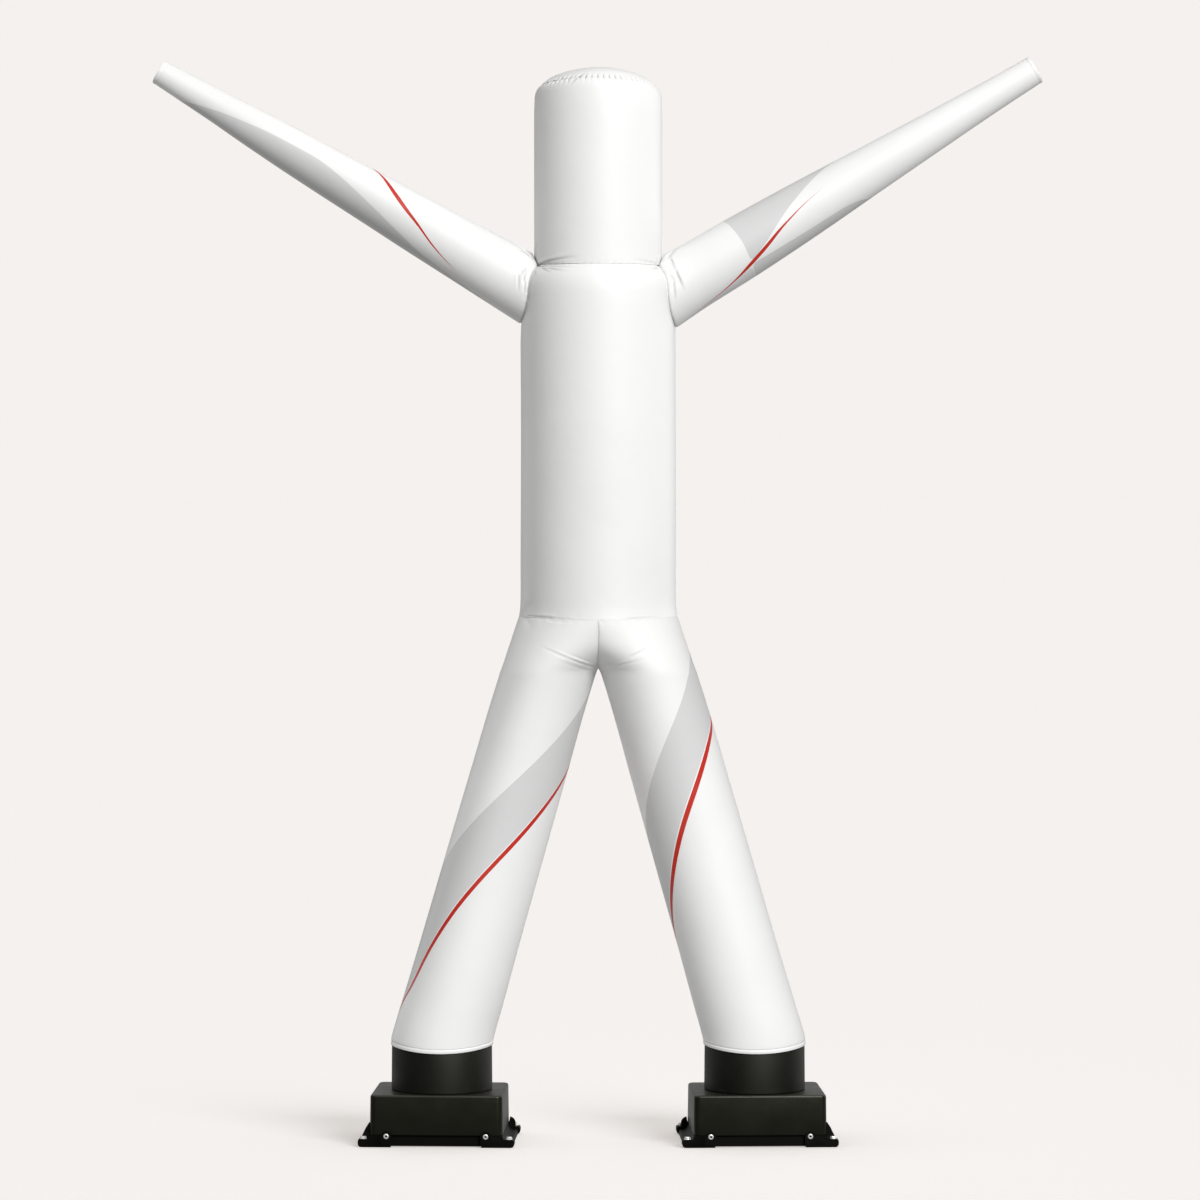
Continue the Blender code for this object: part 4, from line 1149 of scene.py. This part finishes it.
# %% Legs
hem_rows = np.linspace(HEM, HEM + 2 * LEG_HEM.height, 15)
busy = (CROTCH + 0.015, 2.215, 2.262, HIP_SEAM)
leg_rows = spaced(hem_rows[-1], HIP_SEAM - SEAM_GAP / 2, 0.0036, 0.060, busy, 0.032)
for side, sign in SIDES.items():
    share = -spaced(-1.0, 1.0, 0.0024, 0.0088, (-1.0, 1.0), 0.026)[None, :] * sign
    height = np.concatenate([hem_rows[:-1], leg_rows])[:, None]
    centre, half_width, _ = leg_section(height[:, 0])
    share, height = np.broadcast_arrays(share, height)
    turn = leg_turn(share, height)
    uv = np.stack([turn * LEG_RADIUS, height], axis=-1)
    wall = HEM_WALL + (CLOTH - HEM_WALL) * smoothstep((height - HEM - LEG_HEM.height) / 0.01)
    sewn(f"leg_{side}_cloth", f"leg_{side}", leg_surface(side, share, height), uv, (f"blower_{side}_ring",),
         wrapped_rows=centre - half_width >= SEAM_GAP / 2, thickness=wall,
         fields=leg_print(side, turn, height))

# %% [markdown]
# ## The blowers: finish of the plastic and the metal
# The housings are moulded black plastic with a fine spark-eroded grain, the outlet ring is smoother, and the
# screws are plated. A clean black never looks right flat, so roughness varies softly and a
# fine noise gives the grain. All of it reads Object coordinates, so it doesn't need a UV map.

# %% Plastic and metal
def make_plastic(name, colour, roughness, grain, specular):
    """Moulded plastic with a fine grain, whose roughness varies a little in patches."""
    material, tree, shader = principled(name, Base_Color=colour, Specular_IOR_Level=specular,
                                        Specular_Tint=(1.0, 1.0, 0.86, 1.0))
    patchy = ranged(tree, object_noise(tree, 9.0, 4.0, 0.6), 0.3, 0.7, roughness - 0.05, roughness + 0.05)
    feed(tree, shader.inputs["Roughness"], patchy)
    feed(tree, shader.inputs["Normal"], bumped(tree, object_noise(tree, 650.0), grain, 0.0004))
    return material


def make_plated():
    """Bright metal, with painted shade, near black, in the screws' sockets, wherever the attribute "recess"
    is 1.
    """
    material, tree, shader = principled("bright_plating", Metallic=0.55, Specular_IOR_Level=0.25)
    metal, socket_shade = (0.92, 0.92, 0.90, 1.0), (0.012, 0.012, 0.012, 1.0)
    feed(tree, shader.inputs["Base Color"], colour_mix(tree, attribute(tree, "recess"), metal, socket_shade))
    brushed = ranged(tree, object_noise(tree, 420.0, 3.0), 0.3, 0.7, 0.22, 0.34)
    feed(tree, shader.inputs["Roughness"], brushed)
    return material


def make_thread():
    """White thread whose twist goes lighter and darker."""
    material, tree, shader = principled("polyester_thread", Roughness=0.55, Specular_IOR_Level=0.3)
    twist = object_noise(tree, 900.0, 1.0)
    colour = colour_mix(tree, twist, (0.80, 0.80, 0.79, 1.0), (0.90, 0.90, 0.89, 1.0))
    feed(tree, shader.inputs["Base Color"], colour)
    return material


housing_finish = make_plastic("moulded_black", (0.0082, 0.0082, 0.0054, 1.0), 0.38, 0.06, 0.42)
# the tray is the housing's plastic made much darker: painted shade, for the tray sits in the shade under the
# housing's overhang
tray_shaded_finish = make_plastic("tray_black", (0.0014, 0.0014, 0.0009, 1.0), 0.50, 0.10, 0.14)
ring_finish = make_plastic("ring_black", (0.0010, 0.0010, 0.0006, 1.0), 0.55, 0.05, 0.56)
plated = make_plated()
thread = make_thread()
print("finishes:", [m.name for m in (cloth_finish, housing_finish, tray_shaded_finish, ring_finish, plated, thread)])

# %% [markdown]
# ## The stitches
# Each seam is stitched down once more beside its edge, with white thread a little under a millimetre thick. A
# dashed texture would be flat at the outline, so each stitch is a short bar of thread: four rings of
# four points, whose ends dip into the cloth. The seams' surfaces give the line and its normals.

# %% Stitches
STITCH_STEP = 0.0046            # from one stitch to the next
STITCH_LENGTH = 0.0036
STITCH_RADIUS = 0.00040
SEAM_MARGIN = 0.0065            # from a seam to the stitches beside it
STATIONS = np.array([-0.50, -0.28, 0.28, 0.50])     # along a stitch, as shares of its length
RISES = np.array([-0.70, 0.45, 0.45, -0.70])        # over the cloth, as shares of the thread's radius


def seam_line(surface, u, v, handed=1, step=0.001):
    """Points of a surface along a line of (u, v) and its outward normals, from small steps to both sides."""
    across = surface(u + step, v) - surface(u - step, v)
    along = surface(u, v + step) - surface(u, v - step)
    return surface(u, v), unit(np.cross(across, along)) * handed


def stitch_mesh(name, line, normals):
    """Closed bars of thread, a step apart by the length along a line."""
    far = np.concatenate([[0.0], np.cumsum(np.linalg.norm(np.diff(line, axis=0), axis=1))])
    count = int(far[-1] / STITCH_STEP)
    spots = (np.arange(count) + 0.5)[:, None] * far[-1] / count + STITCH_LENGTH * STATIONS
    centre, out = (np.stack([np.interp(spots, far, values[:, axis]) for axis in range(3)], axis=-1)
                   for values in (line, normals))
    aside = unit(np.cross(out, centre[:, -1:] - centre[:, :1]))
    centre = centre + STITCH_RADIUS * RISES[:, None] * out
    spin = np.radians([0.0, 90.0, 180.0, 270.0])[:, None]
    spokes = np.cos(spin) * aside[:, :, None] + np.sin(spin) * out[:, :, None]
    rings = centre[:, :, None] + STITCH_RADIUS * spokes
    number = np.arange(count * 16).reshape(count, 4, 4)
    after = np.roll(number, -1, axis=2)
    walls = np.stack([number[:, :-1], after[:, :-1], after[:, 1:], number[:, 1:]], axis=-1).reshape(-1, 4)
    faces = np.concatenate([walls, number[:, 0, ::-1], number[:, 3]])
    mesh = bpy.data.meshes.new(name)
    mesh.from_pydata(rings.reshape(-1, 3).tolist(), [], faces.tolist())
    mesh.shade_smooth()
    return mesh


print("a metre of seam has", int(1.0 / STITCH_STEP), "stitches")

# %% [markdown]
# ## Where the seams run
# A level seam is a turn once round at a fixed length up the cloth. The middle seam of the seat runs up
# instead, on each leg's front and back, a margin away from the cut edge by the oval's own curve.

# %% Seam lines
round_turn = np.linspace(-math.pi, math.pi, 3001)
level = np.zeros(round_turn.shape)
seams = {
    "neck": seam_line(torso_surface, round_turn, level + torso_outline.length - SEAM_MARGIN),
    "hip": seam_line(torso_surface, round_turn, level + SEAM_MARGIN),
    "cap": seam_line(head_surface, round_turn, level + head_outline.length - SEAM_MARGIN),
}
for side, sign in SIDES.items():
    sleeve, leg = partial(sleeve_surface, side), partial(leg_surface, side)
    whole = arm_frame(side).length - armhole(side, round_turn)
    seams[f"armhole_{side}"] = seam_line(sleeve, round_turn, SEAM_MARGIN / whole, sign)
    seams[f"cuff_{side}"] = seam_line(sleeve, round_turn, 1.0 - CUFF_HEM.height / whole, sign)
    seams[f"hem_{side}"] = seam_line(leg, round_turn / math.pi, level + HEM + LEG_HEM.height, -sign)
    height = np.linspace(CROTCH + 0.016, HIP_SEAM - 0.006, 600)
    centre, half_width, half_depth = leg_section(height)
    last_turn = leg_turn(1.0, height)
    per_turn = np.hypot(half_width * np.sin(last_turn), half_depth * np.cos(last_turn))
    off_edge_share = SEAM_MARGIN / per_turn / last_turn
    for face, end in (("front", 1.0), ("back", -1.0)):
        seams[f"middle_{face}_{side}"] = seam_line(leg, end * (1.0 - off_edge_share), height, -sign)
stitches = [place(stitch_mesh(f"stitches_{seam}", *line), thread, "thread") for seam, line in seams.items()]
print(len(stitches), "seams stitched with", sum(triangles(row) for row in stitches), "triangles")

# %% [markdown]
# ## The blowers: housing and outlet ring
# A housing is a box with drafted sides and rounded edges. Carrying a rounded rectangle up a short profile
# gives exactly that, and the same carrying, with a circle instead, turns the ring.

# %% Housing and ring sizes
HOUSING_TOP = 0.228
HOUSING_BOTTOM = 0.045
HOUSING_HALF = (0.304, 0.250)
HOUSING_DRAFT = 0.0020      # how much each side leans in up to the top
HOUSING_CORNER = 0.028
HOUSING_TOE = 0.003         # radius of the housing's lower edge
HOUSING_FILLET = 0.011
RING_RADIUS = 0.230
RING_DRAFT = 0.0020         # how much wider the ring is at its foot
RING_TOP = 0.470
RING_WALL = 0.008
RING_FOOT = 0.006           # radius of the ring's outer foot
RING_RIM = 0.003


def to_world(points, side):
    """From a blower's own frame to the object's: turned by its yaw and moved out to its side."""
    yaw = SIDES[side] * BLOWER_YAW
    x = points[..., 0] * math.cos(yaw) - points[..., 1] * math.sin(yaw) + SIDES[side] * BLOWER_X
    y = points[..., 0] * math.sin(yaw) + points[..., 1] * math.cos(yaw)
    return np.stack([x, y, points[..., 2]], axis=-1)


def closed_rows(name, rounds, capped=True):
    """Closed mesh over rows of points that each go once round. Both ends are capped by one flat face, or else
    the last row joins the first, as in a ring."""
    number = np.arange(rounds.shape[0] * rounds.shape[1]).reshape(rounds.shape[:2])
    if not capped:
        number = np.concatenate([number, number[:1]])
    after = np.roll(number, -1, axis=1)
    faces = np.stack([number[:-1], after[:-1], after[1:], number[1:]], axis=-1).reshape(-1, 4).tolist()
    if capped:
        faces += [number[0, ::-1].tolist(), number[-1].tolist()]
    mesh = bpy.data.meshes.new(name)
    mesh.from_pydata(rounds.reshape(-1, 3).tolist(), [], faces)
    mesh.shade_smooth()
    mesh.set_sharp_from_angle(angle=math.radians(40))
    return mesh


def rounded_rectangle(half_x, half_y, corner, height, steps=9):
    """Counter-clockwise outline: four quarter circles of the corner's radius, joined by straight sides."""
    quarter, step = np.divmod(np.arange(4 * (steps + 1)), steps + 1)
    turn = math.pi / 2 * (quarter + step / steps)
    x = np.where((quarter == 0) | (quarter == 3), 1, -1) * (half_x - corner) + corner * np.cos(turn)
    y = np.where(quarter < 2, 1, -1) * (half_y - corner) + corner * np.sin(turn)
    return np.stack([x, y, np.full(x.shape, height)], axis=-1)


def circle(radius, height, count=144):
    """Points of a level circle round the Z axis."""
    turn = np.arange(count) * FULL_TURN / count
    return np.stack([radius * np.cos(turn), radius * np.sin(turn), np.full(count, height)], axis=-1)


print("a blower's middle is at", [round(v, 3) for v in to_world(np.zeros(3), "right").tolist()])

# %% [markdown]
# ## The housing and the ring as pieces
# A Bevel modifier would round all edges alike. The rows give the lower edge, the upper one and the four
# upright corners a radius each, and let the walls lean in as a mould needs.

# %% Housings and rings
def housing_rows():
    """Rows from the bottom edge: a small bottom round, the drafted wall, the top round, and the flat top."""
    half_x, half_y = HOUSING_HALF
    outlines = []
    for turn in np.radians([0, 30, 60, 90]):
        inset = HOUSING_TOE * (1 - math.sin(turn))
        height = HOUSING_BOTTOM + HOUSING_TOE * (1 - math.cos(turn))
        outlines.append(rounded_rectangle(half_x - inset, half_y - inset, HOUSING_CORNER - inset, height))
    for turn in np.radians(np.linspace(0, 90, 9)):
        rounding = HOUSING_FILLET * (1 - math.cos(turn))
        inset = HOUSING_DRAFT + rounding
        height = HOUSING_TOP - HOUSING_FILLET * (1 - math.sin(turn))
        corner = HOUSING_CORNER - 0.7 * rounding
        outlines.append(rounded_rectangle(half_x - inset, half_y - inset, corner, height))
    return np.array(outlines)


def ring_rows():
    """Section of the outlet ring, once round: outer wall with a rounded foot, rounded rim, inner wall."""
    low, foot_radius = HOUSING_TOP + SEAM_GAP, RING_RADIUS + RING_DRAFT
    section = [(foot_radius - RING_FOOT * (1 - math.sin(turn)), low + RING_FOOT * (1 - math.cos(turn)))
               for turn in np.radians(np.linspace(0, 90, 6))]
    section += [(RING_RADIUS - RING_RIM * (1 - math.cos(turn)), RING_TOP - RING_RIM * (1 - math.sin(turn)))
                for turn in np.radians(np.linspace(0, 90, 5))]
    section += [(RING_RADIUS - RING_WALL, RING_TOP), (RING_RADIUS - RING_WALL, low)]
    return np.array([circle(radius, height) for radius, height in section]) + np.array([RING_X, 0.0, 0.0])


for side, sign in SIDES.items():
    housing = closed_rows(f"blower_{side}_housing_shell", to_world(housing_rows(), side))
    place(housing, housing_finish, "black_plastic", [f"blower_{side}_housing"])
    mirrored = ring_rows()[::sign] * np.array([sign, 1.0, 1.0])
    ring = closed_rows(f"blower_{side}_outlet_ring", mirrored, capped=False)
    place(ring, ring_finish, "black_ring", [f"blower_{side}_ring"])
print("housings and rings placed, up to", round(FEET + RING_TOP, 3), "m")

# %% [markdown]
# ## The blowers: base tray
# The tray under a housing is one moulding with rails, corner lugs, ears and gussets. Its solid already has
# the right shape, and only lacks the small radii that catch the light, so a copy of its mesh is welded and
# bevelled.

# %% Base trays
TRAY_EDGE = 0.0020              # width of the bevels


def softened_copy(name, source):
    """A CAD node's mesh with its loose triangles welded and its flat faces joined."""
    work = bmesh.new()
    work.from_mesh(source)
    bmesh.ops.remove_doubles(work, verts=work.verts, dist=0.00002)
    bmesh.ops.dissolve_limit(work, angle_limit=math.radians(1.0), verts=work.verts, edges=work.edges)
    mesh = bpy.data.meshes.new(name)
    work.to_mesh(mesh)
    work.free()
    mesh.shade_smooth()
    mesh.set_sharp_from_angle(angle=math.radians(40))
    return mesh


for side in SIDES:
    name = f"blower_{side}_base"
    mesh = softened_copy(name + "_tray", frame["nodes"][name].data)
    tray = place(mesh, tray_shaded_finish, "black_plastic", [name], lift=0.0)
    bevel = tray.modifiers.new("radii", "BEVEL")
    bevel.width = TRAY_EDGE
    bevel.segments = 2
    bevel.limit_method = "ANGLE"
    bevel.angle_limit = math.radians(35)
print("trays placed, the last one of", len(tray.data.polygons), "flat faces before its bevel")

# %% [markdown]
# ## The blowers: screws and bolts
# Pan-head screws with a hexagon socket hold the housing to the tray's ears, and hexagon bolts stand on the
# corner lugs. Both are rows of points carried up an axis: a circle where the metal is turned, a hexagon where
# a spanner or a key goes. A Boolean could cut the socket, but rows give its edges in the right places.

# %% Screw and bolt heads
EAR_THICK = 0.0095              # upright ear of the tray, between the housing and a screw
SCREW_X = 0.227
SCREW_FACE = HOUSING_HALF[1] + SEAM_GAP + EAR_THICK + SEAM_GAP
SCREW_Z = 0.041
SCREW_RADIUS = 0.0125
SCREW_HEIGHT = 0.006
SCREW_DOME = 0.0045             # how far the dome leans in, were it to go a quarter round
SCREW_MOUTH = 0.0062            # radius of the rim round the socket
SOCKET_FLATS = 0.0096
BOLT_X = 0.333
BOLT_Y = 0.2407
BOLT_Z = 0.028 + SEAM_GAP
BOLT_RADIUS = 0.016
BOLT_HEIGHT = 0.011
BOLT_FLATS = 0.0250
WASHER = 0.0020
HEAD_POINTS = 48                # round a screw or a bolt
SOCKET_ROW = 7                  # from this row on, a screw's points are in its socket


def hexagon(across_flats, height):
    """As many points as in a head's circles, on a hexagon's sides: half the width across flats over the
    cosine of the turn from the middle of the nearest side."""
    turn = np.arange(HEAD_POINTS) * FULL_TURN / HEAD_POINTS
    off = np.mod(turn, math.pi / 3) - math.pi / 6
    radius = across_flats / 2 / np.cos(off)
    return np.stack([radius * np.cos(turn), radius * np.sin(turn), np.full(HEAD_POINTS, height)], axis=-1)


def turned_head(*steps):
    """Circles, each from a radius and a height."""
    return [circle(radius, height, HEAD_POINTS) for radius, height in steps]


def screw_rows():
    """Head from its foot: an upright edge, a domed top, and a socket whose walls are a hexagon."""
    dome = [(SCREW_RADIUS - SCREW_DOME * (1 - math.cos(turn)), SCREW_HEIGHT * (0.35 + 0.63 * math.sin(turn)))
            for turn in np.radians([25, 50, 75])]
    edge = (SCREW_RADIUS, 0.0), (SCREW_RADIUS, SCREW_HEIGHT * 0.35)
    head = turned_head(*edge, *dome, (SCREW_MOUTH, SCREW_HEIGHT))
    return np.array(head + [hexagon(SOCKET_FLATS, SCREW_HEIGHT * share) for share in (0.93, 0.92, 0.12)])


def bolt_rows():
    """Washer, then the head: hexagon sides with a chamfer that runs to a round top."""
    washer = turned_head((BOLT_RADIUS, 0.0), (BOLT_RADIUS, WASHER * 0.8), (BOLT_RADIUS - 0.0004, WASHER),
                         (BOLT_FLATS / 2 + 0.0003, WASHER))
    sides = [hexagon(BOLT_FLATS, WASHER + 0.0006), hexagon(BOLT_FLATS, BOLT_HEIGHT - 0.0014)]
    return np.array(washer + sides + turned_head((BOLT_FLATS / 2 * 0.97, BOLT_HEIGHT)))


print("a screw's head has", len(screw_rows()), "rows and a bolt's has", len(bolt_rows()))

# %% [markdown]
# ## Laying the heads on their seats
# Each head is modelled up +Z from its foot. A screw's is laid over, so that it looks out of the front or the
# back of its housing, and a bolt's stands upright on its lug. Instances would save points, but each head
# stands for a solid of its own.

# %% Screws and bolts
def laid(head, axis, foot):
    """Rows modelled up +Z, turned so that +Z points along the axis, with their foot at a point."""
    turn = np.array(Vector(axis).to_track_quat("Z", "Y").to_matrix())
    return head @ turn.T + np.array(foot)


def place_head(name, head, side, socket_row):
    """A screw's or bolt's head as a piece, with the attribute "recess" at 1 from its socket's row on."""
    mesh = closed_rows(name + "_head", to_world(head, side))
    in_socket = np.repeat(np.arange(len(head)) >= socket_row, HEAD_POINTS).astype(np.float32)
    mesh.attributes.new("recess", "FLOAT", "POINT").data.foreach_set("value", in_socket)
    return place(mesh, plated, "plated_steel", [name])


heads = []
for side, sign in SIDES.items():
    for x_sign in (-1, 1):
        for y_sign in (-1, 1):
            corner = ("outer" if x_sign == sign else "inner") + ("_front" if y_sign < 0 else "_back")
            screw = laid(screw_rows(), (0, y_sign, 0), (x_sign * SCREW_X, y_sign * SCREW_FACE, SCREW_Z))
            bolt = laid(bolt_rows(), (0, 0, 1), (x_sign * BOLT_X, y_sign * BOLT_Y, BOLT_Z))
            heads.append(place_head(f"blower_{side}_screw_{corner}", screw, side, SOCKET_ROW))
            heads.append(place_head(f"blower_{side}_bolt_{corner}", bolt, side, len(bolt)))
print(len(heads), "screws and bolts placed")

# %% [markdown]
# ## The stage
# The floor is as pale as the backdrop, so the figure seems to stand in the open. A white plane under lamps
# would show their pools of light. This one glows a little, and only the low sun reaches it, so all
# that it shows is the blowers' soft shadows.

# %% Stage
BACKDROP = (0.913, 0.880, 0.855, 1.0)
FILL_COLOUR = (1.000, 0.990, 0.980)
FILL = 0.350                        # light of the room from the sides
FLOOR_DIFFUSE = 0.95
FLOOR_REACH = 4000.0
LOW_SUN = 2.30                      # lights the floor alone, so that each blower has a soft shadow
LOW_SUN_HEIGHT = math.radians(18)
LOW_SUN_WIDTH = math.radians(34)
LOW_SUN_TURN = math.radians(34)     # from the front towards the right


def make_stage():
    """A floor as pale as the backdrop: it glows by what the backdrop is brighter than its own share of the
    room's light and of the low sun's, so it only shows where something shades it."""
    room = FLOOR_DIFFUSE * FILL * np.array(FILL_COLOUR)
    sun = FLOOR_DIFFUSE * LOW_SUN * math.sin(LOW_SUN_HEIGHT) / math.pi
    glow = np.array(BACKDROP[:3]) - room - sun
    material, _, _ = principled("pale_floor", Base_Color=(FLOOR_DIFFUSE, FLOOR_DIFFUSE, FLOOR_DIFFUSE, 1.0),
                                Roughness=1.0, Specular_IOR_Level=0.0, Emission_Color=(*glow, 1.0),
                                Emission_Strength=1.0)
    mesh = bpy.data.meshes.new("floor")
    corners = [(x * FLOOR_REACH, y * FLOOR_REACH, 0) for x, y in ((-1, -1), (1, -1), (1, 1), (-1, 1))]
    mesh.from_pydata(corners, [], [(0, 1, 2, 3)])
    mesh.materials.append(material)
    floor = new_object("floor", mesh)
    floor.location.z = -0.0005
    floor.visible_diffuse = floor.visible_glossy = floor.visible_shadow = False
    return floor


floor = make_stage()
print("the floor is", round(2 * FLOOR_REACH), "m wide")

# %% [markdown]
# ## The room
# The room fills the figure's shaded side. An image of a studio could do it, but the plastic would mirror it,
# and the backdrop has to stay plain. So the world tells three kinds of rays apart: those from the camera see
# the backdrop, those from something glossy see a dark front and a pale ceiling, and the rest see the fill.

# %% Room
FILL_BACK = 0.200                   # how much stronger it is from behind, and weaker from the front
OVERHEAD = 1.10                     # a pale ceiling that shows in the rounded edges of the plastic
MIRRORED_FRONT = 0.035              # what shows in the plastic: a dark room behind the camera
MIRRORED_BACK = 0.42                # and the pale backdrop behind the figure


def make_room():
    """The room lights the figure from all sides, most from behind, and shows a plain pale backdrop. Glossy
    things mirror it darker in front than behind, with a pale ceiling."""
    world = bpy.data.worlds.new("room")
    bpy.context.scene.world = world
    world.use_nodes = True
    tree = world.node_tree
    tree.nodes.clear()
    rays = node(tree, "ShaderNodeLightPath").outputs
    coords = node(tree, "ShaderNodeTexCoord")
    way = node(tree, "ShaderNodeSeparateXYZ", in_0=coords.outputs["Generated"]).outputs
    paint = (*FILL_COLOUR, 1.0)
    strength = maths(tree, "MULTIPLY_ADD", in_0=way["Y"], in_1=FILL_BACK, in_2=FILL)
    depth = ranged(tree, way["Y"], -0.3, 0.7, MIRRORED_FRONT, MIRRORED_BACK, "SMOOTHSTEP")
    ceiling = ranged(tree, way["Z"], 0.55, 0.85, 0.0, OVERHEAD, "SMOOTHSTEP")
    fill = node(tree, "ShaderNodeBackground", in_Color=paint, in_Strength=strength)
    mirrored = node(tree, "ShaderNodeBackground", in_Color=paint,
                    in_Strength=maths(tree, "ADD", in_0=depth, in_1=ceiling))
    seen = node(tree, "ShaderNodeBackground", in_Color=BACKDROP, in_Strength=1.0)
    lit = node(tree, "ShaderNodeMixShader", in_0=rays["Is Glossy Ray"], in_1=fill.outputs[0],
               in_2=mirrored.outputs[0])
    chosen = node(tree, "ShaderNodeMixShader", in_0=rays["Is Camera Ray"], in_1=lit.outputs[0],
                  in_2=seen.outputs[0])
    node(tree, "ShaderNodeOutputWorld", in_0=chosen.outputs[0])


make_room()
print("the room is made of", len(bpy.context.scene.world.node_tree.nodes), "nodes")

# %% [markdown]
# ## Lamps
# One large soft lamp from the front right does most of the work. Two weaker ones behind, one at each side,
# keep the outlines bright, and a low one at the front's left lifts the legs, which lean out of the main
# light. Light linking gives each lamp its own things, where moving the lamps would unbalance the rest.

# %% Lamps
Lamp = namedtuple("Lamp", "place aim size power")
LAMPS = {
    "key": Lamp((9.2, -22.0, 14.8), (0, 0, 2.4), (12.0, 12.0), 7100.0),
    "beside": Lamp((9.6, 6.7, 5.0), (0, 0, 2.8), (5.0, 7.0), 215.0),
    "rim": Lamp((-9.0, 8.0, 2.0), (0, 0, 2.8), (5.0, 7.0), 190.0),
    "front": Lamp((-2.6, -7.0, 0.6), (0, 0, 1.6), (4.0, 2.5), 62.0),
}


def add_lamp(name, lamp):
    """A rectangular lamp that points from its place at its aim, and isn't seen itself."""
    light = bpy.data.lights.new(name, "AREA")
    light.shape = "RECTANGLE"
    light.size, light.size_y = lamp.size
    light.energy = lamp.power
    thing = new_object(name, light)
    thing.visible_camera = False
    thing.location = lamp.place
    thing.rotation_euler = (Vector(lamp.aim) - Vector(lamp.place)).to_track_quat("-Z", "Y").to_euler()
    return thing


def add_low_sun():
    """A weak sun close to the horizon."""
    sun = new_object("low", bpy.data.lights.new("low", "SUN"))
    sun.data.energy = LOW_SUN
    sun.data.angle = LOW_SUN_WIDTH
    sun.rotation_euler = (math.radians(90) - LOW_SUN_HEIGHT, 0.0, LOW_SUN_TURN)
    return sun


def group(name, things, state):
    """A set of objects that a light reaches or is shadowed by, or with EXCLUDE, all but these."""
    made = bpy.data.collections.new(name)
    for thing in things:
        made.objects.link(thing)
    for member in made.collection_objects:
        member.light_linking.link_state = state
    return made


lamps = {name: add_lamp(name, lamp) for name, lamp in LAMPS.items()}
lamps["low"] = add_low_sun()
cloths = [thing for thing in bpy.data.objects if thing.get("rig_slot") == "cloth"]
leg_cloths = [thing for thing in cloths if thing.name.startswith("leg")]
blowers = [thing for thing in bpy.data.objects if thing.name.startswith("blower") and "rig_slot" in thing]
reached = {
    "key": ([floor], "EXCLUDE"),
    "beside": ([floor, bpy.data.objects["leg_right_cloth"]], "EXCLUDE"),
    "rim": (cloths, "INCLUDE"),
    "front": (leg_cloths, "INCLUDE"),
    "low": ([floor], "INCLUDE"),
}
for name, (things, state) in reached.items():
    lamps[name].light_linking.receiver_collection = group(f"{name}_lights", things, state)
lamps["low"].light_linking.blocker_collection = group("low_is_shadowed_by", blowers, "INCLUDE")
bpy.context.scene.view_settings.view_transform = "Standard"
print(len(lamps), "lamps, of", sum(lamp.power for lamp in LAMPS.values()), "W and a low sun")

# %% [markdown]
# ## Camera
# A long lens far away keeps the upright tubes upright. The camera stands half a metre above the figure's
# middle and looks down to it a little, so the tops of the trays just show.

# %% Camera
CAMERA_PLACE = (0.008, -21.6, 2.999)
CAMERA_DIP = math.radians(1.353)
LENS = 141.0                # millimetres, like the sensor's width
SENSOR = 36.0
camera = new_object("camera", bpy.data.cameras.new("camera"))
camera.data.lens = LENS
camera.data.sensor_width = SENSOR
camera.location = CAMERA_PLACE
camera.rotation_euler = (math.radians(90) - CAMERA_DIP, 0.0, 0.0)
bpy.context.scene.camera = camera
print("the camera sees", round(-CAMERA_PLACE[1] * SENSOR / LENS, 2), "m across at the figure")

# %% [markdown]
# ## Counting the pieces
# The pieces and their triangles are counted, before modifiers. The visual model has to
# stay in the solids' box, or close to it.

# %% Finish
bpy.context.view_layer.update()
pieces = [thing for thing in bpy.data.objects if thing.type == "MESH" and "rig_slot" in thing]
print(len(pieces), "pieces,", sum(triangles(thing) for thing in pieces), "triangles before modifiers")
